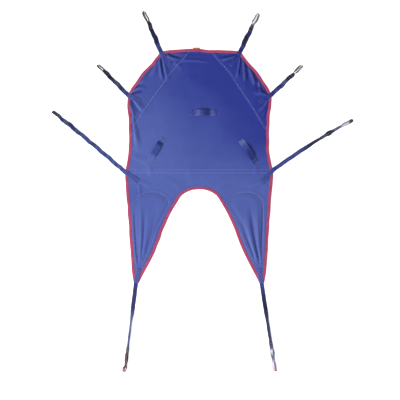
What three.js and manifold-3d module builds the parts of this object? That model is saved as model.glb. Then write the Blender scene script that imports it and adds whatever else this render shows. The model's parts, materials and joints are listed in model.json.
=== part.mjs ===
// Divided-leg patient lifting sling, spread flat on the ground with its handle side up.
// The head end points to +Y and the legs to -Y. Millimetres, +Z up.
// Origin: the centre of the footprint, straps included, on the ground.
import * as THREE from 'three';
import { mergeVertices } from 'three/addons/utils/BufferGeometryUtils.js';
import Module from 'manifold-3d';

const wasm = await Module();
wasm.setup();

// ---- Driving dimensions -------------------------------------------------------------------
// Plan places are [x, y] from the centre line and the hip seam, before the origin is moved.

// Half outline of the bound edge: head corner to shoulder, shoulder to leg end, leg end to crotch.
const HEAD_EDGE = [[-248, 763], [-120, 777], [0, 780], [120, 775], [248, 763]];
const NECK_EDGE = [[248, 763], [291, 704], [360, 629], [397, 573], [424, 536], [447, 488]];
const FLANK_EDGE = [
  [447, 488], [446, 420], [438, 350], [435, 240], [436, 150], [445, 85], [459, 10],
  [457, -50], [450, -133], [438, -282], [426, -468], [415, -617], [405, -672],
];
const CROTCH_EDGE = [
  [372, -672], [344, -617], [304, -542], [257, -440], [214, -322], [177, -245],
  [134, -171], [108, -131], [70, -106], [35, -96], [0, -94],
];
// The head end lies a little to the right of the centre line.
const HEAD_DRIFT = { amount: 9, from: 300, to: 760 };
// Seam between the centre panel and the right side gusset, bowed outwards.
const GUSSET_SEAM = [[52, 800], [92, 735], [176, 640], [255, 525], [333, 412], [413, 284], [520, 134]];
const SEAM_GAP = 0.4;

// Folds across the sling: the bare strip each leaves between two stiff stand-ins.
const HEAD_FOLD = 530;
const HIP_FOLD = 53;
const LEG_FOLD = -104;
const FOLD_HALF_GAP = 4;

// Heights of the layers above the ground.
const WEBBING_THICK = 2.1;
const PAD_TOP = 3.1;
const BINDING = { bottom: 2.4, top: 6.4, flange: 0.7, wall: 2, width: 24 };
const FABRIC = { bottom: 3.4, top: 5.4, inset: 2.3 };
const ON_FABRIC = 5.7;

// The binding narrows where the two edges of a leg come together.
const LEG_END = { narrowFrom: -625, narrowTo: -672, width: 14.5 };
// Where the tape across the head end meets the tapes that go on along the neck.
const HEAD_TAPE = { from: -231, to: 249 };

const PAD = { inset: 38, top: -109, end: -545, x: 291, shoulder: -192, halfWidth: 106 };
const HIP_WEBBING = { y: 23, width: 25.4, halfLength: 400 };
const SIZE_TAB = { x: -15, y: 773, width: 43, length: 30, bottom: 0.9, top: 2.1 };

const HANDLE = { width: 38, foot: 26, ramp: 34, rise: 13 };
const HANDLES = {
  centre_handle: { from: [-50, 384], to: [105, 384] },
  left_handle: { from: [-310, 78], to: [-223, 226] },
  right_handle: { from: [353, 71], to: [260, 214] },
};

// Each strap leaves the edge at its anchor and is sewn over the binding and the fabric as far
// as its tail. Distances run along the strap from the anchor: hinge line, start and length of
// the quarter turn that stands it on edge, and each loop pocket as [start, end, half opening].
const STRAP_WIDTH = 25;
const STRAPS = {
  left_head: {
    anchor: [-236, 760], tip: [-341, 1008], tail: [-180, 679], hinge: 7,
    turnFrom: 90, turnLength: 50, tilt: 90, bow: 0, pockets: [[186, 261, 9]],
  },
  right_head: {
    anchor: [254, 760], tip: [366, 995], tail: [196, 676], hinge: 7,
    turnFrom: 86, turnLength: 50, tilt: 90, bow: 0, pockets: [[180, 252, 9]],
  },
  left_shoulder: {
    anchor: [-440, 493], tip: [-626, 679], tail: [-366, 450], hinge: 9,
    turnFrom: 84, turnLength: 58, tilt: 90, bow: 0, pockets: [[192, 255, 7]],
  },
  right_shoulder: {
    anchor: [447, 493], tip: [639, 673], tail: [372, 447], hinge: 9,
    turnFrom: 84, turnLength: 58, tilt: 90, bow: 0, pockets: [[188, 254, 8]],
  },
  left_hip: {
    anchor: [-459, 16], tip: [-905, 388], tail: [-378, -40], hinge: 10,
    turnFrom: 180, turnLength: 60, tilt: 0, bow: -4, pockets: [[404, 482, 5], [496, 572, 4]],
  },
  right_hip: {
    anchor: [459, 28], tip: [949, 338], tail: [391, -47], hinge: 10,
    turnFrom: 186, turnLength: 60, tilt: 90, bow: 9, pockets: [[404, 462, 6], [474, 571, 9]],
  },
  left_leg: {
    anchor: [-391, -673], tip: [-459, -1218], tail: [-372, -586], hinge: 5,
    turnFrom: 155, turnLength: 60, tilt: 90, bow: 0, pockets: [[430, 500, 6], [510, 544, 8]],
  },
  right_leg: {
    anchor: [388, -673], tip: [471, -1218], tail: [372, -586], hinge: 5,
    turnFrom: 155, turnLength: 60, tilt: 90, bow: 0, pockets: [[409, 464, 8], [470, 522, 9]],
  },
};
const HINGE_GAP = 1.5;
// A sewn end lies on the binding, and the free strap comes down from there to the ground.
const TAIL_MIDDLE = BINDING.top + 0.3 + WEBBING_THICK / 2;
const DROP_LENGTH = 34;
const STRAP_STEP = 6;
const LAP = { length: 32, clear: 5 };
const LAYER_GAP = 0.3;
const POCKET_RAMP = 0.35;

// ---- Materials ----------------------------------------------------------------------------
const COLOURS = {
  fabric: '#4a5ca8', binding: '#a83a5e', webbing: '#2c3270', pad: '#5868ae', tab: '#d9956a',
  black_loop: '#15151a', green_loop: '#a9bba4', grey_loop: '#9a9aa2', lilac_loop: '#cfc8dc',
  pink_loop: '#c89aa2',
};
const FACE_COLOURS = {
  left_head: 'green_loop', right_head: 'grey_loop', left_shoulder: 'green_loop',
  right_shoulder: 'lilac_loop', left_hip: 'grey_loop', right_hip: 'lilac_loop',
  left_leg: 'pink_loop', right_leg: 'pink_loop',
};

const sling = new THREE.Group();

function add(name, geometry, colour) {
  const material = new THREE.MeshStandardMaterial({
    color: COLOURS[colour], roughness: 0.85, metalness: 0,
  });
  const mesh = new THREE.Mesh(geometry, material);
  mesh.name = name;
  sling.add(mesh);
}

// ---- Solids -------------------------------------------------------------------------------
function solidOf(geometry) {
  const bare = geometry.clone();
  bare.deleteAttribute('normal');
  bare.deleteAttribute('uv');
  const merged = mergeVertices(bare, 1e-4);
  return new wasm.Manifold(new wasm.Mesh({
    numProp: 3,
    vertProperties: merged.attributes.position.array,
    triVerts: new Uint32Array(merged.index.array),
  }));
}

function geometryOf(solid) {
  const mesh = solid.getMesh();
  const geometry = new THREE.BufferGeometry();
  geometry.setAttribute('position', new THREE.BufferAttribute(mesh.vertProperties, 3));
  geometry.setIndex(new THREE.BufferAttribute(mesh.triVerts, 1));
  return geometry;
}

// A flat plate: the closed plan outline from one height to another.
function plate(points, bottom, top) {
  const outline = points.map((p) => new THREE.Vector2(p.x, p.y));
  const shape = new THREE.Shape(THREE.ShapeUtils.isClockWise(outline) ? outline.reverse() : outline);
  const depth = top - bottom;
  return new THREE.ExtrudeGeometry(shape, { depth, bevelEnabled: false }).translate(0, 0, bottom);
}

// A closed body through equal sections, whose ends are filled by the given quads. The second half
// of a section is split the other way, which keeps the opposite walls of a twisted strip parallel.
function loft(sections, capQuads) {
  const count = sections[0].length;
  const last = (sections.length - 1) * count;
  const index = [];
  for (let i = 0; i < sections.length - 1; i += 1) {
    for (let k = 0; k < count; k += 1) {
      const a = i * count + k;
      const b = i * count + ((k + 1) % count);
      const split = k < count / 2 ? [a, b, b + count, a, b + count, a + count]
        : [a, b, a + count, b, b + count, a + count];
      index.push(...split);
    }
  }
  for (const [a, b, c, d] of capQuads) {
    index.push(a, c, b, a, d, c);
    index.push(last + a, last + b, last + c, last + a, last + c, last + d);
  }
  const geometry = new THREE.BufferGeometry();
  const positions = sections.flat().flatMap((p) => [p.x, p.y, p.z]);
  geometry.setAttribute('position', new THREE.Float32BufferAttribute(positions, 3));
  geometry.setIndex(index);
  return turnedOut(geometry);
}

// The same body with its faces pointing out, whichever way round it was wound.
function turnedOut(geometry) {
  if (solidOf(geometry).volume() < 0) {
    geometry.setIndex(Array.from(geometry.index.array).reverse());
  }
  return geometry;
}

// A flat strip of webbing along stations of centre, width direction and thickness direction.
function ribbon(stations, width) {
  const corners = [[-1, -1], [1, -1], [1, 1], [-1, 1]];
  const sections = stations.map(({ centre, across, up }) => corners.map(([a, b]) => centre.clone()
    .addScaledVector(across, (a * width) / 2)
    .addScaledVector(up, (b * WEBBING_THICK) / 2)));
  return loft(sections, [[0, 1, 2, 3]]);
}

// ---- Plan outline -------------------------------------------------------------------------
const smooth = (t) => {
  const c = Math.min(1, Math.max(0, t));
  return c * c * (3 - 2 * c);
};
const drift = (y) => HEAD_DRIFT.amount * smooth((y - HEAD_DRIFT.from) / (HEAD_DRIFT.to - HEAD_DRIFT.from));

// Evenly spaced points on a smooth line through the given ones; side -1 mirrors it.
function line(points, count, side = 1) {
  const knots = points.map(([x, y]) => new THREE.Vector3(side * x, y, 0));
  const curve = new THREE.CatmullRomCurve3(knots, false, 'centripetal');
  return curve.getSpacedPoints(count).map((p) => new THREE.Vector3(p.x + drift(p.y), p.y, 0));
}

const joined = (...lines) => lines.flatMap((points, i) => (i ? points.slice(1) : points));
const reversed = (points) => [...points].reverse();

// From the left leg's end over the head to the right leg's end, and back over the crotch.
const rim = joined(
  reversed(line(FLANK_EDGE, 34, -1)),
  reversed(line(NECK_EDGE, 10, -1)),
  line(HEAD_EDGE, 14),
  line(NECK_EDGE, 10),
  line(FLANK_EDGE, 34),
);
const crotch = joined(line(CROTCH_EDGE, 26), reversed(line(CROTCH_EDGE, 26, -1)));

// The direction into the fabric at each point of an edge that runs clockwise round it,
// scaled so that the moved edges keep the same distance at a corner.
function inward(points) {
  const normals = points.slice(1).map((p, i) => {
    const d = p.clone().sub(points[i]).normalize();
    return new THREE.Vector3(d.y, -d.x, 0);
  });
  return points.map((p, i) => {
    const before = normals[Math.max(0, i - 1)];
    const after = normals[Math.min(i, normals.length - 1)];
    const mean = before.clone().add(after).normalize();
    return mean.divideScalar(mean.dot(after));
  });
}

function moved(points, distance) {
  const directions = inward(points);
  return points.map((p, i) => p.clone().addScaledVector(directions[i], distance));
}

// ---- Cutting the sling into its pieces ----------------------------------------------------
const FAR = 2000;

function region(points) {
  const corners = points.map(([x, y]) => new THREE.Vector2(x, y));
  return solidOf(plate(corners, -10, 60));
}

const between = (low, high) => region([[-FAR, low], [FAR, low], [FAR, high], [-FAR, high]]);
const upTo = (x) => region([[-FAR, -FAR], [x, -FAR], [x, FAR], [-FAR, FAR]]);
const LEFT = upTo(0);
const RIGHT = region([[0, -FAR], [FAR, -FAR], [FAR, FAR], [0, FAR]]);
const BANDS = {
  head: between(HEAD_FOLD + FOLD_HALF_GAP, FAR),
  back: between(HIP_FOLD + FOLD_HALF_GAP, HEAD_FOLD - FOLD_HALF_GAP),
  seat: between(LEG_FOLD + FOLD_HALF_GAP, HIP_FOLD - FOLD_HALF_GAP),
  legs: between(-FAR, LEG_FOLD - FOLD_HALF_GAP),
};

// What lies between the two gusset seams, or up to a gap beyond them.
function centreRegion(gap) {
  const right = line(GUSSET_SEAM, 12).map((p) => [p.x + gap, p.y]);
  const left = line(GUSSET_SEAM, 12, -1).map((p) => [p.x - gap, p.y]);
  return region([...right, [520, -FAR], [-520, -FAR], ...reversed(left)]);
}

const cut = (solid, ...regions) => regions.reduce((kept, r) => kept.intersect(r), solid);

function addFabric() {
  const { inset, bottom, top } = FABRIC;
  const sheet = solidOf(plate([...moved(rim, inset), ...moved(crotch, inset)], bottom, top));
  const centre = centreRegion(0);
  const gussets = sheet.subtract(centreRegion(SEAM_GAP));
  const piece = (name, solid) => add(name, geometryOf(solid), 'fabric');
  piece('head_panel', cut(sheet, BANDS.head, centre));
  piece('left_head_gusset', cut(gussets, BANDS.head, LEFT));
  piece('right_head_gusset', cut(gussets, BANDS.head, RIGHT));
  piece('back_panel', cut(sheet, BANDS.back, centre));
  piece('left_shoulder_gusset', cut(gussets, BANDS.back, LEFT));
  piece('right_shoulder_gusset', cut(gussets, BANDS.back, RIGHT));
  piece('seat_panel', cut(sheet, BANDS.seat));
  piece('left_leg_panel', cut(sheet, BANDS.legs, LEFT));
  piece('right_leg_panel', cut(sheet, BANDS.legs, RIGHT));
}

// Edge binding: a folded tape whose two flanges hold the fabric's edge between them.
function bindingSweep(edge) {
  const { bottom, top, flange, wall, width } = BINDING;
  const { narrowFrom, narrowTo, width: endWidth } = LEG_END;
  const directions = inward(edge);
  const sections = edge.map((p, i) => {
    const closing = smooth((narrowFrom - p.y) / (narrowFrom - narrowTo));
    const reach = width + (endWidth - width) * closing;
    const profile = [
      [0, bottom], [reach, bottom], [reach, bottom + flange], [wall, bottom + flange],
      [wall, top - flange], [reach, top - flange], [reach, top], [0, top],
    ];
    return profile.map(([depth, z]) => p.clone().addScaledVector(directions[i], depth).setZ(z));
  });
  return solidOf(loft(sections, [[0, 1, 2, 3], [0, 3, 4, 7], [4, 5, 6, 7]]));
}

function addBinding() {
  const rimTape = bindingSweep(rim);
  const crotchTape = bindingSweep(crotch);
  const { from, to } = HEAD_TAPE;
  const piece = (name, solid) => add(name, geometryOf(solid), 'binding');
  const headTape = cut(rimTape, BANDS.head);
  piece('left_neck_binding', cut(headTape, upTo(from - SEAM_GAP)));
  piece('head_binding', cut(headTape, upTo(to)).subtract(upTo(from)));
  piece('right_neck_binding', headTape.subtract(upTo(to + SEAM_GAP)));
  piece('crotch_binding', cut(crotchTape, BANDS.seat));
  for (const [side, half] of [['left', LEFT], ['right', RIGHT]]) {
    piece(`${side}_side_binding`, cut(rimTape, BANDS.back, half));
    piece(`${side}_hip_binding`, cut(rimTape, BANDS.seat, half));
    piece(`${side}_leg_outer_binding`, cut(rimTape, BANDS.legs, half));
    piece(`${side}_leg_inner_binding`, cut(crotchTape, BANDS.legs, half));
  }
}

// ---- Pads, seam webbing and tab -----------------------------------------------------------
// Round-topped foam pad that follows the leg's two edges down towards its end.
function addLegPad(side, half) {
  const { inset, top, end, x, shoulder, halfWidth } = PAD;
  const leg = [...moved(rim, inset), ...moved(crotch, inset)].filter((p) => p.y > end - 60);
  const inLeg = cut(solidOf(plate(leg, 0, PAD_TOP)), half, between(end, top));
  const crown = new THREE.EllipseCurve(side * x, shoulder, halfWidth, top - shoulder, 0, Math.PI);
  const tombstone = [...crown.getPoints(14).map((p) => [p.x, p.y]), [-halfWidth + side * x, end],
    [halfWidth + side * x, end]];
  return geometryOf(inLeg.intersect(region(tombstone)));
}

function addPads() {
  add('left_leg_pad', addLegPad(-1, LEFT), 'pad');
  add('right_leg_pad', addLegPad(1, RIGHT), 'pad');
}

function addHipWebbing() {
  const { y, width, halfLength } = HIP_WEBBING;
  const geometry = new THREE.BoxGeometry(2 * halfLength, width, WEBBING_THICK);
  add('hip_webbing', geometry.translate(0, y, WEBBING_THICK / 2), 'webbing');
}

function addSizeTab() {
  const { x, y, width, length, bottom, top } = SIZE_TAB;
  const geometry = new THREE.BoxGeometry(width, length, top - bottom);
  add('size_tab', geometry.translate(x, y, (bottom + top) / 2), 'tab');
}

// ---- Handles ------------------------------------------------------------------------------
// A strip sewn down at both feet, standing off the fabric in between so that a hand goes under.
function addHandle(name, { from, to }) {
  const start = new THREE.Vector3(...from, 0);
  const along = new THREE.Vector3(...to, 0).sub(start);
  const length = along.length();
  along.normalize();
  const across = new THREE.Vector3(-along.y, along.x, 0);
  const height = (s) => {
    const fromEnd = Math.min(s, length - s);
    return ON_FABRIC + WEBBING_THICK / 2 + HANDLE.rise * smooth((fromEnd - HANDLE.foot) / HANDLE.ramp);
  };
  const steps = 24;
  const stations = Array.from({ length: steps + 1 }, (_, i) => {
    const s = (length * i) / steps;
    const slope = height(Math.min(length, s + 1)) - height(Math.max(0, s - 1));
    return {
      centre: start.clone().addScaledVector(along, s).setZ(height(s)),
      across,
      up: new THREE.Vector3(0, 0, 2).addScaledVector(along, -slope).normalize(),
    };
  });
  add(name, ribbon(stations, HANDLE.width), 'webbing');
}

// ---- Straps and their loops ---------------------------------------------------------------
// The strap's own line: its centre, width and thickness directions at a distance from the anchor.
function strapLine({ anchor, tip, hinge, turnFrom, turnLength, tilt, bow, pockets }) {
  const root = new THREE.Vector3(...anchor, 0);
  const along = new THREE.Vector3(...tip, 0).sub(root);
  const length = along.length();
  along.normalize();
  const side = new THREE.Vector3(-along.y, along.x, 0);
  const lapFrom = pockets[0][0] - LAP.length;
  const at = (s) => {
    const angle = THREE.MathUtils.degToRad(tilt) * smooth((s - turnFrom) / turnLength);
    const stack = (WEBBING_THICK + LAYER_GAP) * smooth((s - turnFrom) / (lapFrom - turnFrom));
    const held = (TAIL_MIDDLE - WEBBING_THICK / 2) * (1 - smooth((s - hinge) / DROP_LENGTH));
    const z = held + (STRAP_WIDTH / 2) * Math.sin(angle) + (WEBBING_THICK / 2 + stack) * Math.cos(angle);
    return {
      centre: root.clone().addScaledVector(along, s)
        .addScaledVector(side, bow * Math.sin((Math.PI * s) / length)).setZ(z),
      across: side.clone().multiplyScalar(Math.cos(angle)).setZ(Math.sin(angle)),
      up: side.clone().multiplyScalar(-Math.sin(angle)).setZ(Math.cos(angle)),
    };
  };
  return { at, along, length, root };
}

const steps = (from, to, pitch) => {
  const count = Math.max(1, Math.round((to - from) / pitch));
  return Array.from({ length: count + 1 }, (_, i) => from + ((to - from) * i) / count);
};

// The part of the strap that is sewn down on the fabric and the binding.
function addTail(name, strap) {
  const { along, root } = strapLine(strap);
  const sewn = new THREE.Vector3(...strap.tail, 0);
  const inside = root.clone().sub(sewn).normalize();
  const station = (centre, direction) => ({
    centre: centre.clone().setZ(TAIL_MIDDLE),
    across: new THREE.Vector3(-direction.y, direction.x, 0),
    up: new THREE.Vector3(0, 0, 1),
  });
  const middle = inside.clone().add(along).normalize();
  const end = root.clone().addScaledVector(along, strap.hinge - HINGE_GAP);
  add(`${name}_strap_tail`, ribbon([
    station(sewn, inside), station(root, middle), station(end, along),
  ], STRAP_WIDTH), 'webbing');
}

// The single strip from the hinge line to where the loop layers have taken over.
function addStrap(name, strap) {
  const { at } = strapLine(strap);
  const end = strap.pockets[0][0] - LAP.clear;
  const stations = steps(strap.hinge + HINGE_GAP, end, STRAP_STEP).map(at);
  add(`${name}_strap`, ribbon(stations, STRAP_WIDTH), 'webbing');
}

// How far a loop layer's middle stands off the strap's middle at a distance along it.
function layerOffset(pockets, s) {
  const lapped = WEBBING_THICK + LAYER_GAP;
  const pinched = lapped / 2;
  const first = pockets[0];
  const rest = s < (first[0] + first[1]) / 2 ? lapped : pinched;
  const pocket = pockets.find(([from, to]) => s > from && s < to);
  if (!pocket) {
    return rest;
  }
  const [from, to, halfOpening] = pocket;
  const t = (s - from) / (to - from);
  const open = smooth(Math.min(t, 1 - t) / POCKET_RAMP);
  return rest + (halfOpening + WEBBING_THICK / 2 - rest) * open;
}

// Two layers of webbing sewn together between the pockets that they form. On a strap that
// lies flat the lower layer stays on the ground and the upper one rises.
function addLoopLayers(name, strap) {
  const { at, length } = strapLine(strap);
  const lapped = WEBBING_THICK + LAYER_GAP;
  const flat = strap.tilt === 0;
  const offsets = {
    back: (s) => (flat ? -lapped : -layerOffset(strap.pockets, s)),
    face: (s) => (flat ? 2 * layerOffset(strap.pockets, s) - lapped : layerOffset(strap.pockets, s)),
  };
  const places = steps(strap.pockets[0][0] - LAP.length, length, STRAP_STEP);
  for (const [layer, offset] of Object.entries(offsets)) {
    const stations = places.map((s) => {
      const { centre, across, up } = at(s);
      return { centre: centre.addScaledVector(up, offset(s)), across, up };
    });
    const colour = layer === 'back' ? 'black_loop' : FACE_COLOURS[name];
    add(`${name}_loop_${layer}`, ribbon(stations, STRAP_WIDTH), colour);
  }
}

// ---- The sling ----------------------------------------------------------------------------
addFabric();
addBinding();
addPads();
addHipWebbing();
addSizeTab();
for (const [name, handle] of Object.entries(HANDLES)) {
  addHandle(name, handle);
}
for (const [name, strap] of Object.entries(STRAPS)) {
  addTail(name, strap);
  addStrap(name, strap);
  addLoopLayers(name, strap);
}

// The origin moves to the centre of the footprint, on the ground.
const footprint = new THREE.Box3().setFromObject(sling);
const middle = footprint.getCenter(new THREE.Vector3());
sling.position.set(-middle.x, -middle.y, -footprint.min.z);

export default sling;
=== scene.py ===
"""Divided-leg patient lifting sling, spread flat with its handle side up.

The sling is one cut of woven cloth with a gusset sewn on each side, bound all round, with foam
pads in its legs, webbing handles, and eight webbing straps that end in sewn loops. Plan places
are millimetres from the centre line and the hip seam, and heights are millimetres above the
ground. Datum turns them into the frame's metres.
"""

from __future__ import annotations

import json
import logging
import math
from dataclasses import dataclass
from enum import Enum

import bpy
import numpy as np
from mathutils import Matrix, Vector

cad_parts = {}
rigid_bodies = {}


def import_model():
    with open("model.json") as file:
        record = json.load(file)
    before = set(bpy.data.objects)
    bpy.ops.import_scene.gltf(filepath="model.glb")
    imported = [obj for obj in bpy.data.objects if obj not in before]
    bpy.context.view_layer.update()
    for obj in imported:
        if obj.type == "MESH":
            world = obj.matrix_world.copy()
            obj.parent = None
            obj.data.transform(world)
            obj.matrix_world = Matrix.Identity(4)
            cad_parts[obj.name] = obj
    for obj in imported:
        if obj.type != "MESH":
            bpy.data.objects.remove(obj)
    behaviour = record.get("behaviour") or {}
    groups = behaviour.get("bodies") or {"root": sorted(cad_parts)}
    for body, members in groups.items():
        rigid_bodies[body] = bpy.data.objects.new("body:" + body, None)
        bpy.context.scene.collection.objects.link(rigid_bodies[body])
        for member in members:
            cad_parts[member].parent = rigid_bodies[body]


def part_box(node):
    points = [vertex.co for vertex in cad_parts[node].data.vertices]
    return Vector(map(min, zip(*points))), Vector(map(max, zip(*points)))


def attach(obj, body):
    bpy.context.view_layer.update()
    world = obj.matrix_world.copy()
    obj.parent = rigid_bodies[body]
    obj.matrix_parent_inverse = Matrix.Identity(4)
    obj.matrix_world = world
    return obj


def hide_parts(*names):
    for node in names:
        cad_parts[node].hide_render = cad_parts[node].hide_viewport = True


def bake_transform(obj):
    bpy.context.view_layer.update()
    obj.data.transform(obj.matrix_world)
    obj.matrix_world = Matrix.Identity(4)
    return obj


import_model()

LOG = logging.getLogger("sling")
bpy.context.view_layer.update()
MM = 0.001
Array = np.ndarray
Plan = tuple[float, float]
Place = tuple[float, float, float]
Colour = tuple[float, float, float]
Tones = tuple[tuple[float, Colour], ...]
Bend = tuple[Place, Place]

SIDES = ((-1, "left"), (1, "right"))

# ---- Driving dimensions ----

# Half outlines as plan places: x from the centre line, y up from the hip seam.
HEAD_EDGE = ((-248, 763), (-120, 777), (0, 780), (120, 775), (248, 763))
NECK_EDGE = ((248, 763), (291, 704), (360, 629), (397, 573), (424, 536), (447, 488))
FLANK_EDGE = (
    (447, 488), (446, 420), (438, 350), (435, 240), (436, 150), (445, 85), (459, 10),
    (457, -50), (450, -133), (438, -282), (426, -468), (415, -617), (405, -672),
)
CROTCH_EDGE = (
    (372, -672), (344, -617), (304, -542), (257, -440), (214, -322), (177, -245),
    (134, -171), (108, -131), (70, -106), (35, -96), (0, -94),
)
GUSSET_SEAM = ((52, 800), (92, 735), (176, 640), (255, 525), (333, 412), (413, 284), (520, 134))
# How far the head end lies to the right, and the plan heights between which it drifts there.
HEAD_DRIFT = (9.0, 300.0, 760.0)

# Plan heights where one sheet or tape ends and the next begins, and half the crotch tape's width.
SEAT_TOP = 100.0
LEG_TOP = -97.0
LEG_END = -671.0
CLOTH_TOP = 777.5
CROTCH_HALF = 38.0
GUSSET_END = 266.0

# The plan heights between which the cloth turns from one body to the next.
HEAD_BEND = (505.0, 555.0)
HIP_BEND = (70.0, 36.0)
LEG_BEND = (-97.0, -135.0)

# Heights over the ground, thicknesses and widths.
CLOTH_MIDDLE = 4.3
CLOTH_LOWEST = 3.0
CLOTH_THICK = 1.2
CLOTH_PITCH = 4.0
EDGE_INSET = 2.3
TAPE_WIDTH = 18.0
TAPE_THICK = 0.8
TAPE_HALF = 1.6
WEBBING_THICK = 1.9
STRAP_WIDTH = 27.0
STRAP_MIDDLE = 1.05
LAP_LENGTH = 32.0
LAPPED = 2.3
PATCH_HALF = 14.2
# The thread rows' distances either side of a gusset seam, and the hip rows' plan heights.
SEAM_ROWS = 3.4
HIP_ROWS = (31.6, 8.7)
SHARP_ANGLE = 65.0


def smooth(t: Array | float) -> Array:
    """Eased step: 0 up to 0, 1 from 1, and 3t^2 - 2t^3 in between."""
    c = np.clip(t, 0.0, 1.0)
    return c * c * (3.0 - 2.0 * c)


def bell(d: Array | float) -> Array:
    """Bell curve: e to the power of minus d squared."""
    return np.exp(-np.square(d))


def unit(rows: Array) -> Array:
    """Each row at length 1."""
    return rows / np.linalg.norm(rows, axis=-1, keepdims=True)


def upward(ways: Array) -> Array:
    """The unit direction square to each way that points most nearly up, one a row."""
    return unit(np.cross(np.cross(ways, [0.0, 0.0, 1.0]), ways))


def raised(plan: Array, height: Array) -> Array:
    """Plan points with their heights as a third column."""
    return np.concatenate([plan, height[..., None]], axis=-1)


def run_of(points: Array) -> Array:
    """How far along the line each of its points is, from 0 at the first."""
    return np.concatenate([[0.0], np.cumsum(np.linalg.norm(np.diff(points, axis=0), axis=1))])


def resampled(points: Array, count: int) -> Array:
    """Points spread evenly by length along a line.

    Args:
        points: The line's points, one a row.
        count: How many spans the result has.

    Returns:
        count + 1 points, from the line's first point to its last.
    """
    run = run_of(points)
    want = np.linspace(0.0, run[-1], count + 1)
    return np.stack([np.interp(want, run, column) for column in points.T], axis=1)


def smooth_line(knots: tuple[Plan, ...], count: int) -> Array:
    """Evenly spaced points on a smooth line through the knots.

    Each span is a cubic whose end slopes come from the knots on both sides of it, with the
    knots spaced by the square root of their distance, so the line doesn't overshoot.

    Args:
        knots: The places that the line passes through.
        count: How many spans the result has.

    Returns:
        count + 1 plan points.
    """
    p = np.asarray(knots, float)
    p = np.vstack([2 * p[0] - p[1], p, 2 * p[-1] - p[-2]])
    gap = np.sqrt(np.linalg.norm(np.diff(p, axis=0), axis=1))[:, None]
    a, b, c, d = p[:-3], p[1:-2], p[2:-1], p[3:]
    before, here, after = gap[:-2], gap[1:-1], gap[2:]
    leave = ((b - a) / before - (c - a) / (before + here) + (c - b) / here) * here
    arrive = ((c - b) / here - (d - b) / (here + after) + (d - c) / after) * here
    t = np.linspace(0.0, 1.0, 24, endpoint=False)[None, :, None]
    b, c, leave, arrive = (v[:, None, :] for v in (b, c, leave, arrive))
    spans = b + leave * t + (3 * (c - b) - 2 * leave - arrive) * t**2 + (2 * (b - c) + leave + arrive) * t**3
    return resampled(np.vstack([spans.reshape(-1, 2), p[-2]]), count)


class Datum:
    """The place of plan zero, where the centre line meets the hip seam, in the frame."""

    WEBBING_Y = 23.0

    def __init__(self) -> None:
        """Finds plan zero from the webbing across the hip seam."""
        low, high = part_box("hip_webbing")
        self.x = (low.x + high.x) / 2
        self.y = (low.y + high.y) / 2 - self.WEBBING_Y * MM

    def metres(self, points: Array) -> Array:
        """Plan points with heights, in millimetres, as points of the frame in metres."""
        return np.asarray(points, float) * MM + np.array([self.x, self.y, 0.0])

    def point(self, x: float, y: float, z: float = CLOTH_MIDDLE) -> Place:
        """One plan place and height in millimetres as a point of the frame in metres."""
        return (self.x + x * MM, self.y + y * MM, z * MM)


DATUM = Datum()


# ---- Meshes ----

@dataclass
class Shape:
    """A mesh in the making: points in plan millimetres, four-cornered faces and flat places.

    Attributes:
        points: One row a point: plan x, plan y, height.
        faces: One row a face: four point numbers.
        flat: One row a point: its place on the flat cloth or tape, in millimetres.
        tint: One row a point: its colour, or None where the finish sets it.
        shade: One number a point: its painted shade from how deep in a crease it lies, and on an anchor patch
            its darker tone, or None.
    """

    points: Array
    faces: Array
    flat: Array
    tint: Array | None = None
    shade: Array | None = None

    @staticmethod
    def joined(shapes: list[Shape]) -> Shape:
        """One shape that holds all the given ones.

        Args:
            shapes: The shapes, which have the same extra columns.

        Returns:
            The shape of them all.
        """
        starts = np.cumsum([0] + [len(s.points) for s in shapes[:-1]])
        faces = np.concatenate([s.faces + start for s, start in zip(shapes, starts)])
        tint = None if shapes[0].tint is None else np.concatenate([s.tint for s in shapes])
        shade = None if shapes[0].shade is None else np.concatenate([s.shade for s in shapes])
        points = np.concatenate([s.points for s in shapes])
        flat = np.concatenate([s.flat for s in shapes])
        return Shape(points, faces, flat, tint, shade)

    def piece(self, name: str, finish: bpy.types.Material) -> bpy.types.Object:
        """The finished object, smooth shaded, with its UV map and attributes.

        Args:
            name: The piece's name.
            finish: The material it wears.

        Returns:
            The linked object, at the origin, with its place in its mesh.
        """
        mesh = bpy.data.meshes.new(name)
        mesh.from_pydata(DATUM.metres(self.points), [], self.faces)
        corner = np.zeros(len(mesh.loops), np.int32)
        mesh.loops.foreach_get("vertex_index", corner)
        uv = mesh.uv_layers.new(name="UVMap")
        uv.data.foreach_set("uv", (self.flat[corner] * MM).astype(np.float32).ravel())
        # Point colours, among them the handles' bands of painted light and shade.
        if self.tint is not None:
            colours = np.concatenate([self.tint, np.ones((len(self.tint), 1))], axis=1)
            dyed = mesh.color_attributes.new("dye", "FLOAT_COLOR", "POINT")
            dyed.data.foreach_set("color", colours.astype(np.float32).ravel())
        # The crease attribute holds each point's painted crease shade, and on the anchor patches a darker
        # tone.
        if self.shade is not None:
            crease = mesh.attributes.new("crease", "FLOAT", "POINT")
            crease.data.foreach_set("value", self.shade.astype(np.float32))
        mesh.polygons.foreach_set("use_smooth", np.ones(len(mesh.polygons), bool))
        mesh.materials.append(finish)
        mesh.update()
        mesh.set_sharp_from_angle(angle=math.radians(SHARP_ANGLE))
        return linked(name, mesh)


def linked(name: str, data: bpy.types.ID) -> bpy.types.Object:
    """A new object with the given data, linked to the scene."""
    made = bpy.data.objects.new(name, data)
    bpy.context.scene.collection.objects.link(made)
    return made


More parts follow.
